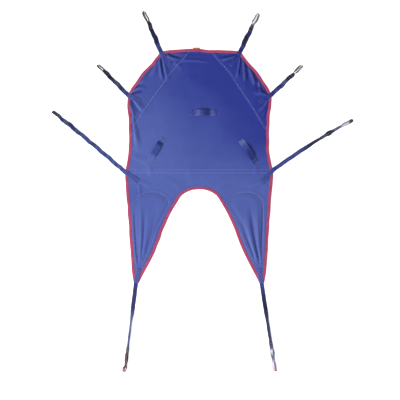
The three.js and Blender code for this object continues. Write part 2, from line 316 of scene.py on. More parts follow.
def tube(points: Array, flat: Array, tint: Array | None = None, shade: Array | None = None) -> Shape:
    """A closed tube through rings of points, with both ends filled.

    The first half of each ring is the face side and the second half the back side in reverse,
    so an end is filled by quads between point k and its partner, the ring's length - 1 - k.

    Args:
        points: Rings of points, shaped (rings, points in a ring, 3).
        flat: Their places on the flat material, shaped (rings, points in a ring, 2).
        tint: Their colours, shaped like points, or None.
        shade: Their amounts of painted crease shade, shaped (rings, points in a ring), or None.

    Returns:
        The shape, with its faces pointing out.
    """
    rings, count = points.shape[:2]
    row, column = np.meshgrid(np.arange(rings - 1), np.arange(count), indexing="ij")
    a = row * count + column
    b = row * count + (column + 1) % count
    sides = np.stack([a, b, b + count, a + count], axis=-1).reshape(-1, 4)
    k = np.arange(count // 2 - 1)
    first = np.stack([k, count - 1 - k, count - 2 - k, k + 1], axis=-1)
    last = (rings - 1) * count + first[:, ::-1]
    faces = np.concatenate([sides, first, last])
    flat_points = points.reshape(-1, 3)
    if signed_volume(flat_points, faces) < 0:
        faces = faces[:, ::-1]
    tints = None if tint is None else np.broadcast_to(tint, points.shape).reshape(-1, 3)
    shades = None if shade is None else shade.reshape(-1)
    return Shape(flat_points, faces, flat.reshape(-1, 2), tints, shades)


def signed_volume(points: Array, faces: Array) -> float:
    """The volume inside four-cornered faces: a sixth of the sum of corner triple products.

    Args:
        points: The corners, one a row.
        faces: The faces' point numbers, one face a row.

    Returns:
        The volume, below 0 where the faces point inwards.
    """
    a, b, c, d = (points[faces[:, k]] - points.mean(axis=0) for k in range(4))
    halves = (a * np.cross(b, c)).sum() + (a * np.cross(c, d)).sum()
    return float(halves) / 6


def shell(face: Array, back: Array, flat: Array, shade: Array | None = None) -> Shape:
    """A closed sheet between two grids of points, the face above and the back below it.

    Args:
        face: The upper side's points, shaped (rows, columns, 3).
        back: The lower side's points, shaped the same.
        flat: The places of both on the flat cloth, shaped (rows, columns, 2).
        shade: The amounts of painted crease shade of both, shaped (rows, columns), or None.

    Returns:
        The shape.
    """
    ring = np.concatenate([face, back[:, ::-1]], axis=1)
    both = np.concatenate([flat, flat[:, ::-1]], axis=1)
    shades = None if shade is None else np.concatenate([shade, shade[:, ::-1]], axis=1)
    return tube(ring, both, shade=shades)


def stitches(centres: Array, along: Array, up: Array, length: float, radius: float) -> Shape:
    """A row of thread stitches: small six-sided rods whose ends are drawn in and sunk.

    Args:
        centres: The stitches' middles, one a row.
        along: The unit directions that they lie in, one a row.
        up: The unit directions away from the cloth, one a row.
        length: A stitch's length.
        radius: The thread's radius.

    Returns:
        All the stitches as one shape.
    """
    across = np.cross(up, along)
    reach = np.array([-0.5, -0.3, 0.3, 0.5]) * length
    girth = np.array([0.4, 1.0, 1.0, 0.4]) * radius
    sink = np.array([-0.9, 0.0, 0.0, -0.9]) * radius
    turn = (np.arange(6) + 0.5) * math.pi / 3
    rod = (
        along[:, None, None, :] * reach[None, :, None, None]
        + across[:, None, None, :] * (girth[:, None] * np.cos(turn))[None, :, :, None]
        + up[:, None, None, :] * (girth[:, None] * np.sin(turn) + sink[:, None])[None, :, :, None]
    )
    points = centres[:, None, None, :] + rod
    pattern = tube(points[0], np.zeros((4, 6, 2)))
    starts = np.arange(len(centres))[:, None, None] * len(pattern.points)
    faces = (pattern.faces[None] + starts).reshape(-1, 4)
    flat = points[..., :2].reshape(-1, 2)
    return Shape(points.reshape(-1, 3), faces, flat)


def stitched(points: Array, length: float, radius: float, up: Array | None = None) -> Shape:
    """A row of stitches, one between each two points of a line in space.

    Args:
        points: The line's points, one a row.
        length: A stitch's length.
        radius: The thread's radius.
        up: The unit directions of the surface, one a stitch. Without them, the most upward ones.

    Returns:
        The stitches.
    """
    way = unit(np.diff(points, axis=0))
    return stitches((points[1:] + points[:-1]) / 2, way, upward(way) if up is None else up, length, radius)


# ---- Shaders ----

class Term:
    """A number inside a shader. Operators on it add the Math nodes that work them out."""

    def __init__(self, bench: Bench, socket: bpy.types.NodeSocket) -> None:
        """Wraps one output socket.

        Args:
            bench: The material's bench, which adds nodes.
            socket: The output that carries the number.
        """
        self.bench = bench
        self.socket = socket

    def math(self, operation: str, *others: Term | float) -> Term:
        """The result of a Math node on this term and the others."""
        node = self.bench.add("ShaderNodeMath", {"operation": operation}, dict(enumerate((self, *others))))
        return Term(self.bench, node.outputs[0])

    def __add__(self, other: Term | float) -> Term:
        """This plus the other."""
        return self.math("ADD", other)

    __radd__ = __add__

    def __sub__(self, other: Term | float) -> Term:
        """This less the other."""
        return self.math("SUBTRACT", other)

    def __rsub__(self, other: float) -> Term:
        """The other less this."""
        return (self * -1.0) + other

    def __mul__(self, other: Term | float) -> Term:
        """This times the other."""
        return self.math("MULTIPLY", other)

    __rmul__ = __mul__

    def __truediv__(self, other: Term | float) -> Term:
        """This divided by the other."""
        return self.math("DIVIDE", other)

    def sine(self) -> Term:
        """The sine of this, in radians."""
        return self.math("SINE")

    def size(self) -> Term:
        """This without its sign."""
        return self.math("ABSOLUTE")

    def part(self) -> Term:
        """What is left of this above its whole number."""
        return self.math("FRACT")

    def held(self, low: float = 0.0, high: float = 1.0) -> Term:
        """This kept between two bounds."""
        return self.math("MAXIMUM", low).math("MINIMUM", high)

    def above(self, edge: float, soft: float) -> Term:
        """0 below the edge, 1 above it, over a soft step of the given width."""
        return ((self - edge) / soft + 0.5).held()


class Bench:
    """One material's node tree, with the single method that adds any node to it."""

    def __init__(self, name: str) -> None:
        """Starts a material with one Principled shader on its output.

        Args:
            name: The material's name.
        """
        self.material = bpy.data.materials.new(name)
        self.material.use_nodes = True
        self.tree = self.material.node_tree
        self.tree.nodes.clear()
        self.shader = self.add("ShaderNodeBsdfPrincipled", {}, {})
        self.add("ShaderNodeOutputMaterial", {}, {"Surface": self.shader.outputs[0]})

    def add(self, kind: str, settings: dict[str, object], inputs: dict[object, object]) -> bpy.types.Node:
        """Adds a node, sets it up, and gives its sockets their values or links.

        Args:
            kind: The node's type.
            settings: Its settings by name. "stops" gives a ramp's places and colours.
            inputs: Its sockets' values, terms or sockets, by the socket's name or number.

        Returns:
            The node.
        """
        node = self.tree.nodes.new(kind)
        for key, value in settings.items():
            if key != "stops":
                setattr(node, key, value)
                continue
            for place, _ in value[2:]:
                node.color_ramp.elements.new(place)
            for element, (place, colour) in zip(node.color_ramp.elements, value):
                element.position, element.color = place, (*colour, 1.0)
        for key, value in inputs.items():
            if isinstance(value, Term):
                value = value.socket
            if isinstance(value, bpy.types.NodeSocket):
                self.tree.links.new(value, node.inputs[key])
            else:
                node.inputs[key].default_value = value
        return node

    def set(self, **constants: object) -> None:
        """Sets constants on the shader's own sockets, named with _ for each space."""
        for key, value in constants.items():
            self.shader.inputs[key.replace("_", " ")].default_value = value

    def link(self, socket: str, value: Term | bpy.types.NodeSocket) -> None:
        """Links a value that changes over the surface to one of the shader's sockets."""
        source = value.socket if isinstance(value, Term) else value
        self.tree.links.new(source, self.shader.inputs[socket])

    def flat_place(self) -> tuple[Term, Term, bpy.types.NodeSocket]:
        """The place on the flat material, in metres: x, y and both as a vector."""
        uv = self.add("ShaderNodeUVMap", {"uv_map": "UVMap"}, {}).outputs[0]
        parts = self.add("ShaderNodeSeparateXYZ", {}, {0: uv})
        return Term(self, parts.outputs[0]), Term(self, parts.outputs[1]), uv

    def noise(self, place: bpy.types.NodeSocket, scale: float, detail: float = 3.0) -> Term:
        """Cloudy noise from 0 to 1 over the given place, with scale clouds a metre."""
        node = self.add(
            "ShaderNodeTexNoise",
            {"noise_dimensions": "2D"},
            {"Vector": place, "Scale": scale, "Detail": detail, "Roughness": 0.55},
        )
        return Term(self, node.outputs[0])

    def mix(self, share: Term | float, a: object, b: object, blend: str = "MIX") -> bpy.types.NodeSocket:
        """Colour a where share is 0 and b where it is 1, or another blend of the two."""
        node = self.add(
            "ShaderNodeMix",
            {"data_type": "RGBA", "blend_type": blend},
            {0: share, 6: rgba(a), 7: rgba(b)},
        )
        return node.outputs[2]

    def emboss(self, height: Term, depth: float, strength: float = 1.0) -> None:
        """Bumps the surface by a height from 0 to 1, depth metres deep."""
        bump = self.add("ShaderNodeBump", {}, {"Strength": strength, "Distance": depth, "Height": height})
        self.link("Normal", bump.outputs[0])


def rgba(value: object) -> object:
    """A colour of three numbers with its opacity, or a socket as it is."""
    return (*value, 1.0) if isinstance(value, tuple) and len(value) == 3 else value


def dye(code: str) -> Colour:
    """The linear colour of a six-digit display code: each part's display curve undone."""
    parts = (int(code[k:k + 2], 16) / 255 for k in (0, 2, 4))
    return tuple(((p + 0.055) / 1.055) ** 2.4 if p > 0.04045 else p / 12.92 for p in parts)


@dataclass(frozen=True)
class WovenCloth:
    """Plain-woven blue polyester: a fine weave, soft sheen, painted light that is lighter at the lower left
    and darker at the upper right with faint cloudy patches, painted shade in creases and painted highlights
    on ridges.

    Attributes:
        name: The material's name.
        pale: The cloth's colour at the lower left, the light end of the painted light gradient.
        deep: Its colour at the upper right, the dark end of the painted light gradient.
        hollow: Its colour as painted shade down in a crease; random mottling also mixes towards it.
        thread_pitch: The distance between threads, in metres.
    """

    name: str
    pale: Colour
    deep: Colour
    hollow: Colour
    thread_pitch: float = 0.0009

    def material(self) -> bpy.types.Material:
        """Builds the material."""
        bench = Bench(self.name)
        x, y, place = bench.flat_place()
        clouds = bench.noise(place, 3.5)
        # Painted light: the cloth is lighter to the lower left and darker to the upper right, with cloudy
        # patches of tone.
        high = ((y + 0.05) / 0.6).held()
        aside = x * 1.3 * ((y + 0.1) / 0.3).held()
        painted_light_and_blotches = (high * 0.85 + aside + (clouds - 0.5) * 0.35 + 0.08).held()
        body = bench.mix(painted_light_and_blotches, self.pale, self.deep)
        mottle = bench.noise(place, 240.0, 2.0)
        body = bench.mix(((mottle - 0.45) * 0.6).held(), body, self.hollow)
        # Painted shade: the crease attribute darkens the cloth towards the hollow colour in creases and near
        # the upper straps.
        crease = Term(bench, bench.add("ShaderNodeAttribute", {"attribute_name": "crease"}, {}).outputs[2])
        body = bench.mix((crease * 0.75).held(0.0, 0.8), body, self.hollow)
        # Painted highlight: on ridges, where the crease attribute is below 0, the cloth is lightened in
        # patches towards the pale colour.
        wear_and_highlight = ((crease * -0.6).held(0.0, 0.5)) * (bench.noise(place, 60.0) * 0.5 + 0.5)
        bench.link("Base Color", bench.mix(wear_and_highlight, body, self.pale))
        turns = math.tau / self.thread_pitch
        warp, weft = (x * turns).sine(), (y * turns).sine()
        weave = warp * weft * 0.5 + (warp.size() + weft.size()) * 0.2 + mottle * 0.3
        bench.emboss(weave, 0.00022, 0.5)
        bench.link("Roughness", mottle * 0.16 + 0.5)
        bench.set(Sheen_Weight=0.08, Sheen_Roughness=0.4, Specular_IOR_Level=0.25)
        return bench.material


@dataclass(frozen=True)
class BindingTape:
    """Crimson folded tape: fine cross ribs, a paler fold where it is rubbed, and slightly uneven dye.

    Attributes:
        name: The material's name.
        body: The tape's colour.
        wear_and_highlight: Its colour along the rubbed fold.
        rib_pitch: The distance between cross ribs, in metres.
    """

    name: str
    body: Colour
    wear_and_highlight: Colour
    rib_pitch: float = 0.0013

    def material(self) -> bpy.types.Material:
        """Builds the material."""
        bench = Bench(self.name)
        run, depth, place = bench.flat_place()
        fold = 1 - depth.size().above(0.0025, 0.004)
        clouds = bench.noise(place, 26.0)
        fluff = bench.noise(place, 600.0, 2.0)
        body = bench.mix((clouds - 0.5) * 0.9 + 0.25, self.body, self.wear_and_highlight)
        body = bench.mix(fold * (clouds * 0.6 + 0.25), body, self.wear_and_highlight)
        dark = tuple(c * 0.6 for c in self.body)
        ribs = (run * (math.tau / self.rib_pitch)).sine() * 0.5 + 0.5
        bench.link("Base Color", bench.mix((1 - ribs) * 0.28 + fluff * 0.15, body, dark))
        bench.emboss(ribs * 0.7 + fluff * 0.3, 0.0002, 0.6)
        bench.link("Roughness", fluff * 0.2 + 0.62)
        bench.set(Sheen_Weight=0.2, Specular_IOR_Level=0.3)
        return bench.material


@dataclass(frozen=True)
class Herringbone:
    """Herringbone webbing in the colour its mesh carries: slanted ribs that turn in bands.

    Attributes:
        name: The material's name.
        rib_pitch: The distance between ribs along the webbing, in metres.
        bands: How many bands of ribs lie across the webbing.
        width: The webbing's width, in metres.
    """

    name: str
    rib_pitch: float = 0.0022
    bands: int = 6
    width: float = 0.025

    def material(self) -> bpy.types.Material:
        """Builds the material."""
        bench = Bench(self.name)
        run, across, place = bench.flat_place()
        band = across * (self.bands / self.width)
        zigzag = ((band * 0.5).part() - 0.5).size() * 2
        rib = ((run / self.rib_pitch + zigzag * 1.6) * math.tau).sine() * 0.5 + 0.5
        valley = 1 - (band.part() - 0.5).size() * 2
        fluff = bench.noise(place, 700.0, 2.0)
        clouds = bench.noise(place, 30.0)
        tint = bench.add("ShaderNodeAttribute", {"attribute_name": "dye"}, {}).outputs[0]
        shadow = ((1 - rib) * 0.35 + (1 - valley) * 0.12 + fluff * 0.2).held()
        dark = bench.mix(1.0, tint, (0.35, 0.35, 0.4), "MULTIPLY")
        body = bench.mix(shadow, tint, dark)
        pale = bench.mix(1.0, tint, (0.12, 0.12, 0.13), "ADD")
        selvedge = across.size().above(self.width * 0.43, self.width * 0.08)
        body = bench.mix(selvedge * (clouds * 0.5 + 0.1), body, pale)
        bench.link("Base Color", bench.mix((clouds - 0.55).held() * 0.8, body, pale))
        bench.emboss(rib * 0.8 + valley * 0.3 + fluff * 0.2, 0.00035, 0.7)
        bench.link("Roughness", fluff * 0.2 + 0.55)
        bench.set(Sheen_Weight=0.05, Specular_IOR_Level=0.25)
        return bench.material


@dataclass(frozen=True)
class SewingThread:
    """Twisted polyester thread: its colour with a fine uneven twist.

    Attributes:
        name: The material's name.
        body: The thread's colour.
    """

    name: str
    body: Colour

    def material(self) -> bpy.types.Material:
        """Builds the material."""
        bench = Bench(self.name)
        _, _, place = bench.flat_place()
        twist = bench.noise(place, 900.0, 2.0)
        dark = tuple(c * 0.5 for c in self.body)
        bench.link("Base Color", bench.mix(twist * 0.6, self.body, dark))
        bench.emboss(twist, 0.0001, 0.5)
        bench.set(Roughness=0.5, Specular_IOR_Level=0.4)
        return bench.material


@dataclass(frozen=True)
class GroundSheet:
    """The pale matt floor that the sling lies on.

    Attributes:
        name: The material's name.
        body: The floor's colour.
    """

    name: str
    body: Colour

    def material(self) -> bpy.types.Material:
        """Builds the material."""
        bench = Bench(self.name)
        bench.set(Base_Color=(*self.body, 1.0), Roughness=0.9, Specular_IOR_Level=0.0)
        bench.set(Emission_Color=(1.0, 1.0, 1.0, 1.0), Emission_Strength=0.75)
        return bench.material


class Finish(Enum):
    """The sling's finishes."""

    # The cloth's first two colours are the light and dark ends of its painted light gradient, and its third
    # is its painted crease shade.
    CLOTH = WovenCloth("blue_woven_polyester", dye("4c5da4"), dye("212f88"), dye("19216a"))
    TAPE = BindingTape("crimson_binding_tape", dye("a8345a"), dye("b85c7c"))
    STRAP = Herringbone("herringbone_strap_webbing")
    WIDE = Herringbone("herringbone_wide_webbing", 0.0026, 8, 0.038)
    THREAD = SewingThread("pale_blue_thread", dye("9aa5da"))
    ANCHOR_THREAD = SewingThread("blue_thread", dye("6f7bbc"))
    RED_THREAD = SewingThread("crimson_thread", dye("8c2448"))
    TAB = BindingTape("orange_tab_tape", dye("d98a5c"), dye("e8b48c"), 0.0010)
    FLOOR = GroundSheet("pale_floor", (0.86, 0.86, 0.87))

    def material(self) -> bpy.types.Material:
        """The finish's material, built the first time that it is asked for."""
        return bpy.data.materials.get(self.value.name) or self.value.material()


NAVY, DEEP_NAVY, BLUE = dye("262d6a"), dye("141848"), dye("3a4690")
COBALT, INK = dye("33489a"), dye("1e2a7c")
SLATE, MAROON, GREY = dye("4e5478"), dye("3e2a38"), dye("8c8c96")
MID_BLUE, MID_NAVY = dye("4c5ba0"), dye("3c4688")
PALE_BLUE = dye("5866ac")
BLACK, PALE_GREEN, LILAC = dye("17171d"), dye("a6b6a0"), dye("cfc9dc")
PINK, ROSE = dye("c49aa0"), dye("a8646e")
BAND_LENGTH = 24.0
BANDED = tuple((BAND_LENGTH * k, MID_NAVY if k % 2 else MID_BLUE) for k in range(15)) + ((370.0, MID_NAVY),)


# ---- The cut ----

class Cut:
    """The sling's flat cut: its edges and gusset seams, worked out once."""

    BATCH = 3000

    def __init__(self) -> None:
        """Draws the half outlines and joins the whole edge for measuring distances from it."""
        self.half_head = smooth_line(HEAD_EDGE, 60)
        self.half_neck = smooth_line(NECK_EDGE, 60)
        self.half_flank = smooth_line(FLANK_EDGE, 240)
        self.half_crotch = smooth_line(CROTCH_EDGE, 160)
        self.half_seam = smooth_line(GUSSET_SEAM, 160)
        edges = [self.drifted(self.half_head)]
        for side in (-1, 1):
            for half in (self.half_neck, self.half_flank, self.half_crotch):
                edges.append(self.mirrored(half, side))
        self.edge = np.vstack(edges)

    @staticmethod
    def drift(y: Array | float) -> Array:
        """How far the head end lies to the right of the centre line at a height on the plan."""
        amount, low, high = HEAD_DRIFT
        return amount * smooth((y - low) / (high - low))

    @staticmethod
    def dip(x: Array, y: Array) -> Array:
        """How far the head edge is drawn down right of its middle: two bells, none below it."""
        return (8.0 * bell((x - 66) / 50) + 3.5 * bell((x - 150) / 45)) * smooth((y - 640) / 130)

    def drifted(self, line: Array) -> Array:
        """The same line moved by the drift and drawn down by the dip."""
        x = line[:, 0] + self.drift(line[:, 1])
        return np.stack([x, line[:, 1] - self.dip(x, line[:, 1])], axis=1)

    def mirrored(self, half: Array, side: int) -> Array:
        """The right-hand line on the given side, 1 for right and -1 for left."""
        return self.drifted(half * np.array([side, 1.0]))

    def flank(self, y: Array) -> Array:
        """Half the sling's width at a height on the plan."""
        return np.interp(y, self.half_flank[::-1, 1], self.half_flank[::-1, 0])

    def seam(self, y: Array) -> Array:
        """The gusset seam's distance from the centre line at a height on the plan."""
        return np.interp(y, self.half_seam[::-1, 1], self.half_seam[::-1, 0])

    def inner(self, y: Array) -> Array:
        """The leg's inner edge's distance from the centre line at a height on the plan."""
        return np.interp(y, self.half_crotch[:, 1], self.half_crotch[:, 0])

    def crotch_height(self, x: Array) -> Array:
        """The crotch edge's height on the plan at a distance from the centre line."""
        return np.interp(np.abs(x), self.half_crotch[::-1, 0], self.half_crotch[::-1, 1])

    def from_edge(self, x: Array, y: Array) -> Array:
        """How far each place is from the nearest point of the edge.

        Args:
            x: Plan distances.
            y: Plan heights.

        Returns:
            Distances in millimetres, shaped like x.
        """
        places = np.stack([np.ravel(x), np.ravel(y)], axis=1)
        nearest = [
            np.sqrt(((part[:, None, :] - self.edge[None]) ** 2).sum(axis=2)).min(axis=1)
            for part in np.array_split(places, max(1, len(places) // self.BATCH))
        ]
        return np.concatenate(nearest).reshape(np.shape(x))


CUT = Cut()


# ---- How the cloth lies ----

@dataclass(frozen=True)
class Crease:
    """A ridge or a hollow that fades out at its ends.

    Attributes:
        start: The plan place where it begins, near what gathers the cloth.
        end: The plan place where it runs out.
        rise: Its height in millimetres, below 0 for a hollow.
        widths: Its half widths at the start and the end.
        bend: How far its middle is bowed to the left of the way from start to end.
        lean: From -1 to 1: how much steeper it is on its left side than on its right.
    """

    start: Plan
    end: Plan
    rise: float
    widths: Plan = (9.0, 16.0)
    bend: float = 0.0
    lean: float = 0.0

    def height(self, x: Array, y: Array) -> Array:
        """The height it adds: rise times a bell of the distance from its bowed line.

        Args:
            x: Plan distances.
            y: Plan heights.

        Returns:
            Heights in millimetres, shaped like x.
        """
        run = np.subtract(self.end, self.start)
        length = float(np.hypot(*run))
        dx, dy = x - self.start[0], y - self.start[1]
        t = (dx * run[0] + dy * run[1]) / length**2
        held = np.clip(t, 0.0, 1.0)
        d = (dy * run[0] - dx * run[1]) / length - self.bend * 4 * held * (1 - held)
        width = self.widths[0] + (self.widths[1] - self.widths[0]) * held
        width = width * (1 - self.lean * np.sign(d) * 0.6)
        ends = smooth(t / 0.16) * smooth((1 - t) / 0.4)
        return self.rise * ends * bell(d / width)


def creases(*rows: tuple[object, ...]) -> tuple[Crease, ...]:
    """The creases whose sizes are given in rows, in the order of Crease's own."""
    return tuple(Crease(*row) for row in rows)


HEAD_CREASES = creases(
    ((-246, 728), (-222, 570), 6.5, (8, 13), -4, 0.4),
    ((-236, 722), (-208, 585), -4.5, (6, 8), -3),
    ((-226, 728), (-190, 560), 6.0, (8, 16), -4, -0.5),
    ((-262, 715), (-305, 600), 4.0, (10, 22), 6),
    ((-280, 690), (-345, 585), -3.0, (9, 16), 4),
    ((-205, 740), (-100, 712), 5.0, (9, 16), -6, 0.5),
    ((-190, 752), (-96, 720), -4.5, (8, 11), -6),
    ((-170, 762), (-30, 752), -3.5, (7, 10), 2),
    ((-160, 700), (-95, 640), 3.0, (9, 20)),
    ((-120, 705), (90, 690), 3.2, (9, 10), 6),
    ((-70, 745), (70, 742), -2.5, (8, 8), 3),
    ((-100, 600), (60, 480), 1.6, (30, 50), 20),
    ((240, 742), (120, 708), 5.0, (9, 14), 8, 0.4),
    ((246, 750), (110, 726), -4.5, (8, 10), 5),
    ((255, 735), (226, 580), 5.0, (8, 14), 5),
    ((262, 733), (242, 590), -4.5, (6, 9), 4),
    ((270, 730), (280, 552), 6.5, (8, 12), 4, -0.4),
    ((290, 700), (305, 560), -4.0, (7, 10), 3),
    ((306, 672), (352, 528), 6.5, (8, 12), 4, 0.4),
    ((330, 655), (372, 560), -3.5, (7, 10), 2),
    ((372, 590), (384, 486), 5.0, (8, 11), -3),
    ((240, 640), (310, 500), 2.5, (16, 30), -12),
)
SHOULDER_CREASES = creases(
    ((-428, 508), (-330, 545), 5.5, (8, 14), 5, 0.4),
    ((-420, 500), (-334, 520), -5.0, (8, 11), 2),
    ((-415, 540), (-320, 590), 3.5, (8, 18), 4),
    ((-425, 520), (-350, 566), -3.0, (6, 10), 3),
    ((-424, 472), (-362, 372), -6.0, (9, 12), -5),
    ((-410, 470), (-335, 385), 5.0, (9, 18), -4, -0.3),
    ((-434, 452), (-385, 335), 5.0, (7, 11), -5, 0.4),
    ((-430, 430), (-398, 235), -5.5, (7, 10), -6),
    ((-412, 380), (-374, 170), 5.5, (8, 16), -8, 0.3),
    ((-395, 300), (-385, 130), 3.0, (10, 20), 4),
    ((434, 470), (362, 380), 4.0, (9, 16), 4),
    ((440, 455), (398, 330), -4.5, (8, 11), 4),
    ((442, 440), (424, 280), 4.0, (7, 10), 3),
    ((436, 400), (430, 300), -4.5, (7, 8), 2),
    ((425, 500), (330, 560), -4.5, (8, 16), -5),
    ((430, 492), (322, 512), 4.5, (9, 18), 3, 0.3),
    ((432, 484), (340, 440), -3.5, (9, 16), 3),
)
BODY_CREASES = creases(
    ((-300, 250), (-120, 330), 1.6, (26, 44), 20),
    ((120, 300), (330, 210), 1.4, (24, 40), -18),
    ((-420, 120), (-250, 60), 2.0, (14, 26), -8),
    ((430, 110), (280, 66), 2.0, (14, 26), 8),
    ((-312, 66), (-296, -20), 1.8, (12, 18)),
    ((352, 60), (345, -20), 1.8, (12, 18)),
    ((-60, 20), (-40, -70), 1.2, (20, 30)),
    ((-200, -30), (-90, -110), 1.6, (16, 26), 8),
    ((200, -30), (90, -110), 1.6, (16, 26), -8),
    ((-380, -44), (-290, -84), 2.2, (10, 18), 4),
    ((392, -50), (300, -84), 2.2, (10, 18), -4),
    ((-376, -50), (-370, -165), 2.4, (8, 11), 2),
)
LEG_CREASES = creases(
    ((-379, -560), (-402, -150), -2.8, (5, 5), 6),
    ((-384, -590), (-418, -190), 1.8, (6, 8), 6),
    ((-372, -560), (-366, -150), 3.0, (6, 9), -8, 0.3),
    ((-362, -530), (-338, -200), -1.7, (7, 9), -6),
    ((-350, -520), (-308, -210), 1.6, (9, 18), -5, -0.2),
    ((-338, -500), (-262, -190), -1.5, (9, 14), -6),
    ((-322, -480), (-240, -240), 1.2, (9, 18), -4),
    ((380, -570), (312, -160), -4.4, (9, 14), 10, 0.3),
    ((388, -585), (356, -170), 3.6, (7, 12), 4, -0.3),
    ((392, -580), (394, -140), -2.2, (5, 7), 3),
    ((396, -600), (412, -200), 2.2, (6, 8), -4),
    ((364, -550), (284, -200), 3.0, (9, 18), 8, 0.3),
    ((350, -540), (244, -225), -2.0, (9, 15), 6),
    ((340, -530), (226, -270), 2.0, (8, 16), 4),
)


@dataclass(frozen=True)
class PadPlan:
    """The foam pad's stitched outline in one leg: a round crown over two tapering sides.

    Attributes:
        inset: The sides' distance from the leg's edges.
        end: The plan height of the lower end.
        centre: The crown's middle: its distance from the centre line and its plan height.
        radii: The crown's half width and height.
    """

    inset: float = 38.0
    end: float = -545.0
    centre: Plan = (291.0, -192.0)
    radii: Plan = (106.0, 83.0)

    def sides(self, y: Array) -> tuple[Array, Array]:
        """The outline's distances from the centre line at plan heights.

        Args:
            y: Plan heights.

        Returns:
            The inner and the outer distances, shaped like y.
        """
        x, shoulder = self.centre
        crown = np.sqrt(1 - np.clip((y - shoulder) / self.radii[1], 0.0, 1.0) ** 2)
        inner = np.maximum(x - self.radii[0] * crown, CUT.inner(y) + self.inset * 1.12)
        outer = np.minimum(x + self.radii[0] * crown, CUT.flank(y) - self.inset)
        return np.minimum(inner, x + 60), np.maximum(outer, inner + 1)

    def depth(self, x: Array, y: Array) -> Array:
        """How far inside the outline each place is.

        Args:
            x: Plan distances.
            y: Plan heights.

        Returns:
            Depths in millimetres, below 0 outside the outline.
        """
        inner, outer = self.sides(y)
        a = np.abs(x)
        sides = np.minimum((a - inner) * 0.9, outer - a)
        across, rise = (a - self.centre[0]) / self.radii[0], (y - self.centre[1]) / self.radii[1]
        crown = (1 - np.hypot(across, np.maximum(rise, 0.0))) * self.radii[1]
        inside = np.where(rise > 0, crown, sides)
        return np.minimum(inside, y - self.end)

    def outline(self, side: int, pitch: float) -> Array:
        """The closed outline's points.

        Args:
            side: 1 for the right leg and -1 for the left.
            pitch: The distance from one point to the next.

        Returns:
            Plan points, the first and last of them the same.
        """
        top = self.centre[1] + self.radii[1]
        y = top - (top - self.end) * np.linspace(0.0, 1.0, 160) ** 2
        inner, outer = self.sides(y)
        left = np.stack([inner, y], axis=1)
        right = np.stack([outer, y], axis=1)
        ring = np.vstack([left[::-1], right, left[-1:]]) * np.array([side, 1.0])
        length = np.linalg.norm(np.diff(ring, axis=0), axis=1).sum()
        return resampled(ring, round(length / pitch))


PAD = PadPlan()


@dataclass(frozen=True)
class StrapCut:
    """One strap: where it is sewn, how it lies, and the loops at its end.

    Distances run along the strap from its anchor at the edge.

    Attributes:
        name: The strap's name, as its body's name begins.
        parent: The body that it is sewn to.
        anchor: The plan place where it leaves the edge.
        tip: The plan place of its far end.
        tail: The plan place where its sewn end stops.
        hinge: A distance along it; the anchor patch stops 4 mm short of it.
        turn: The start and length of its first turn.
        lean: How far the first turn tips it up, in degrees.
        pockets: Each loop opening: start, end and half its width. The last is the end loop.
        tones: Colours of the strap at distances along it.
        back_tones: Dye colours of the loops' back layer.
        face_tones: Dye colours of the loops' face layer.
        bow: How far its middle is bowed sideways.
        flat: Whether its loop layers lie on each other.
        end_tilt: The tilt of its end loop, in degrees.
        flares: How far the end loop's back and face lean inward at the top, in degrees.
        rumple: How far its tilt swings on the way, in radians.
        tail_half: Half the width of its sewn end's patch.
        slot: The record's material slot of the loops' face layer; not used.
        fullness: How much wider it lies halfway along, where the webbing spreads.
    """

    name: str
    parent: str
    anchor: Plan
    tip: Plan
    tail: Plan
    hinge: float
    turn: Plan
    lean: float
    pockets: tuple[tuple[float, float, float], ...]
    tones: Tones
    back_tones: Tones
    face_tones: Tones
    slot: str
    bow: float = 0.0
    flat: bool = False
    end_tilt: float = 90.0
    flares: Plan = (12.0, 12.0)
    rumple: float = 0.1
    tail_half: float = PATCH_HALF
    fullness: float = 0.0


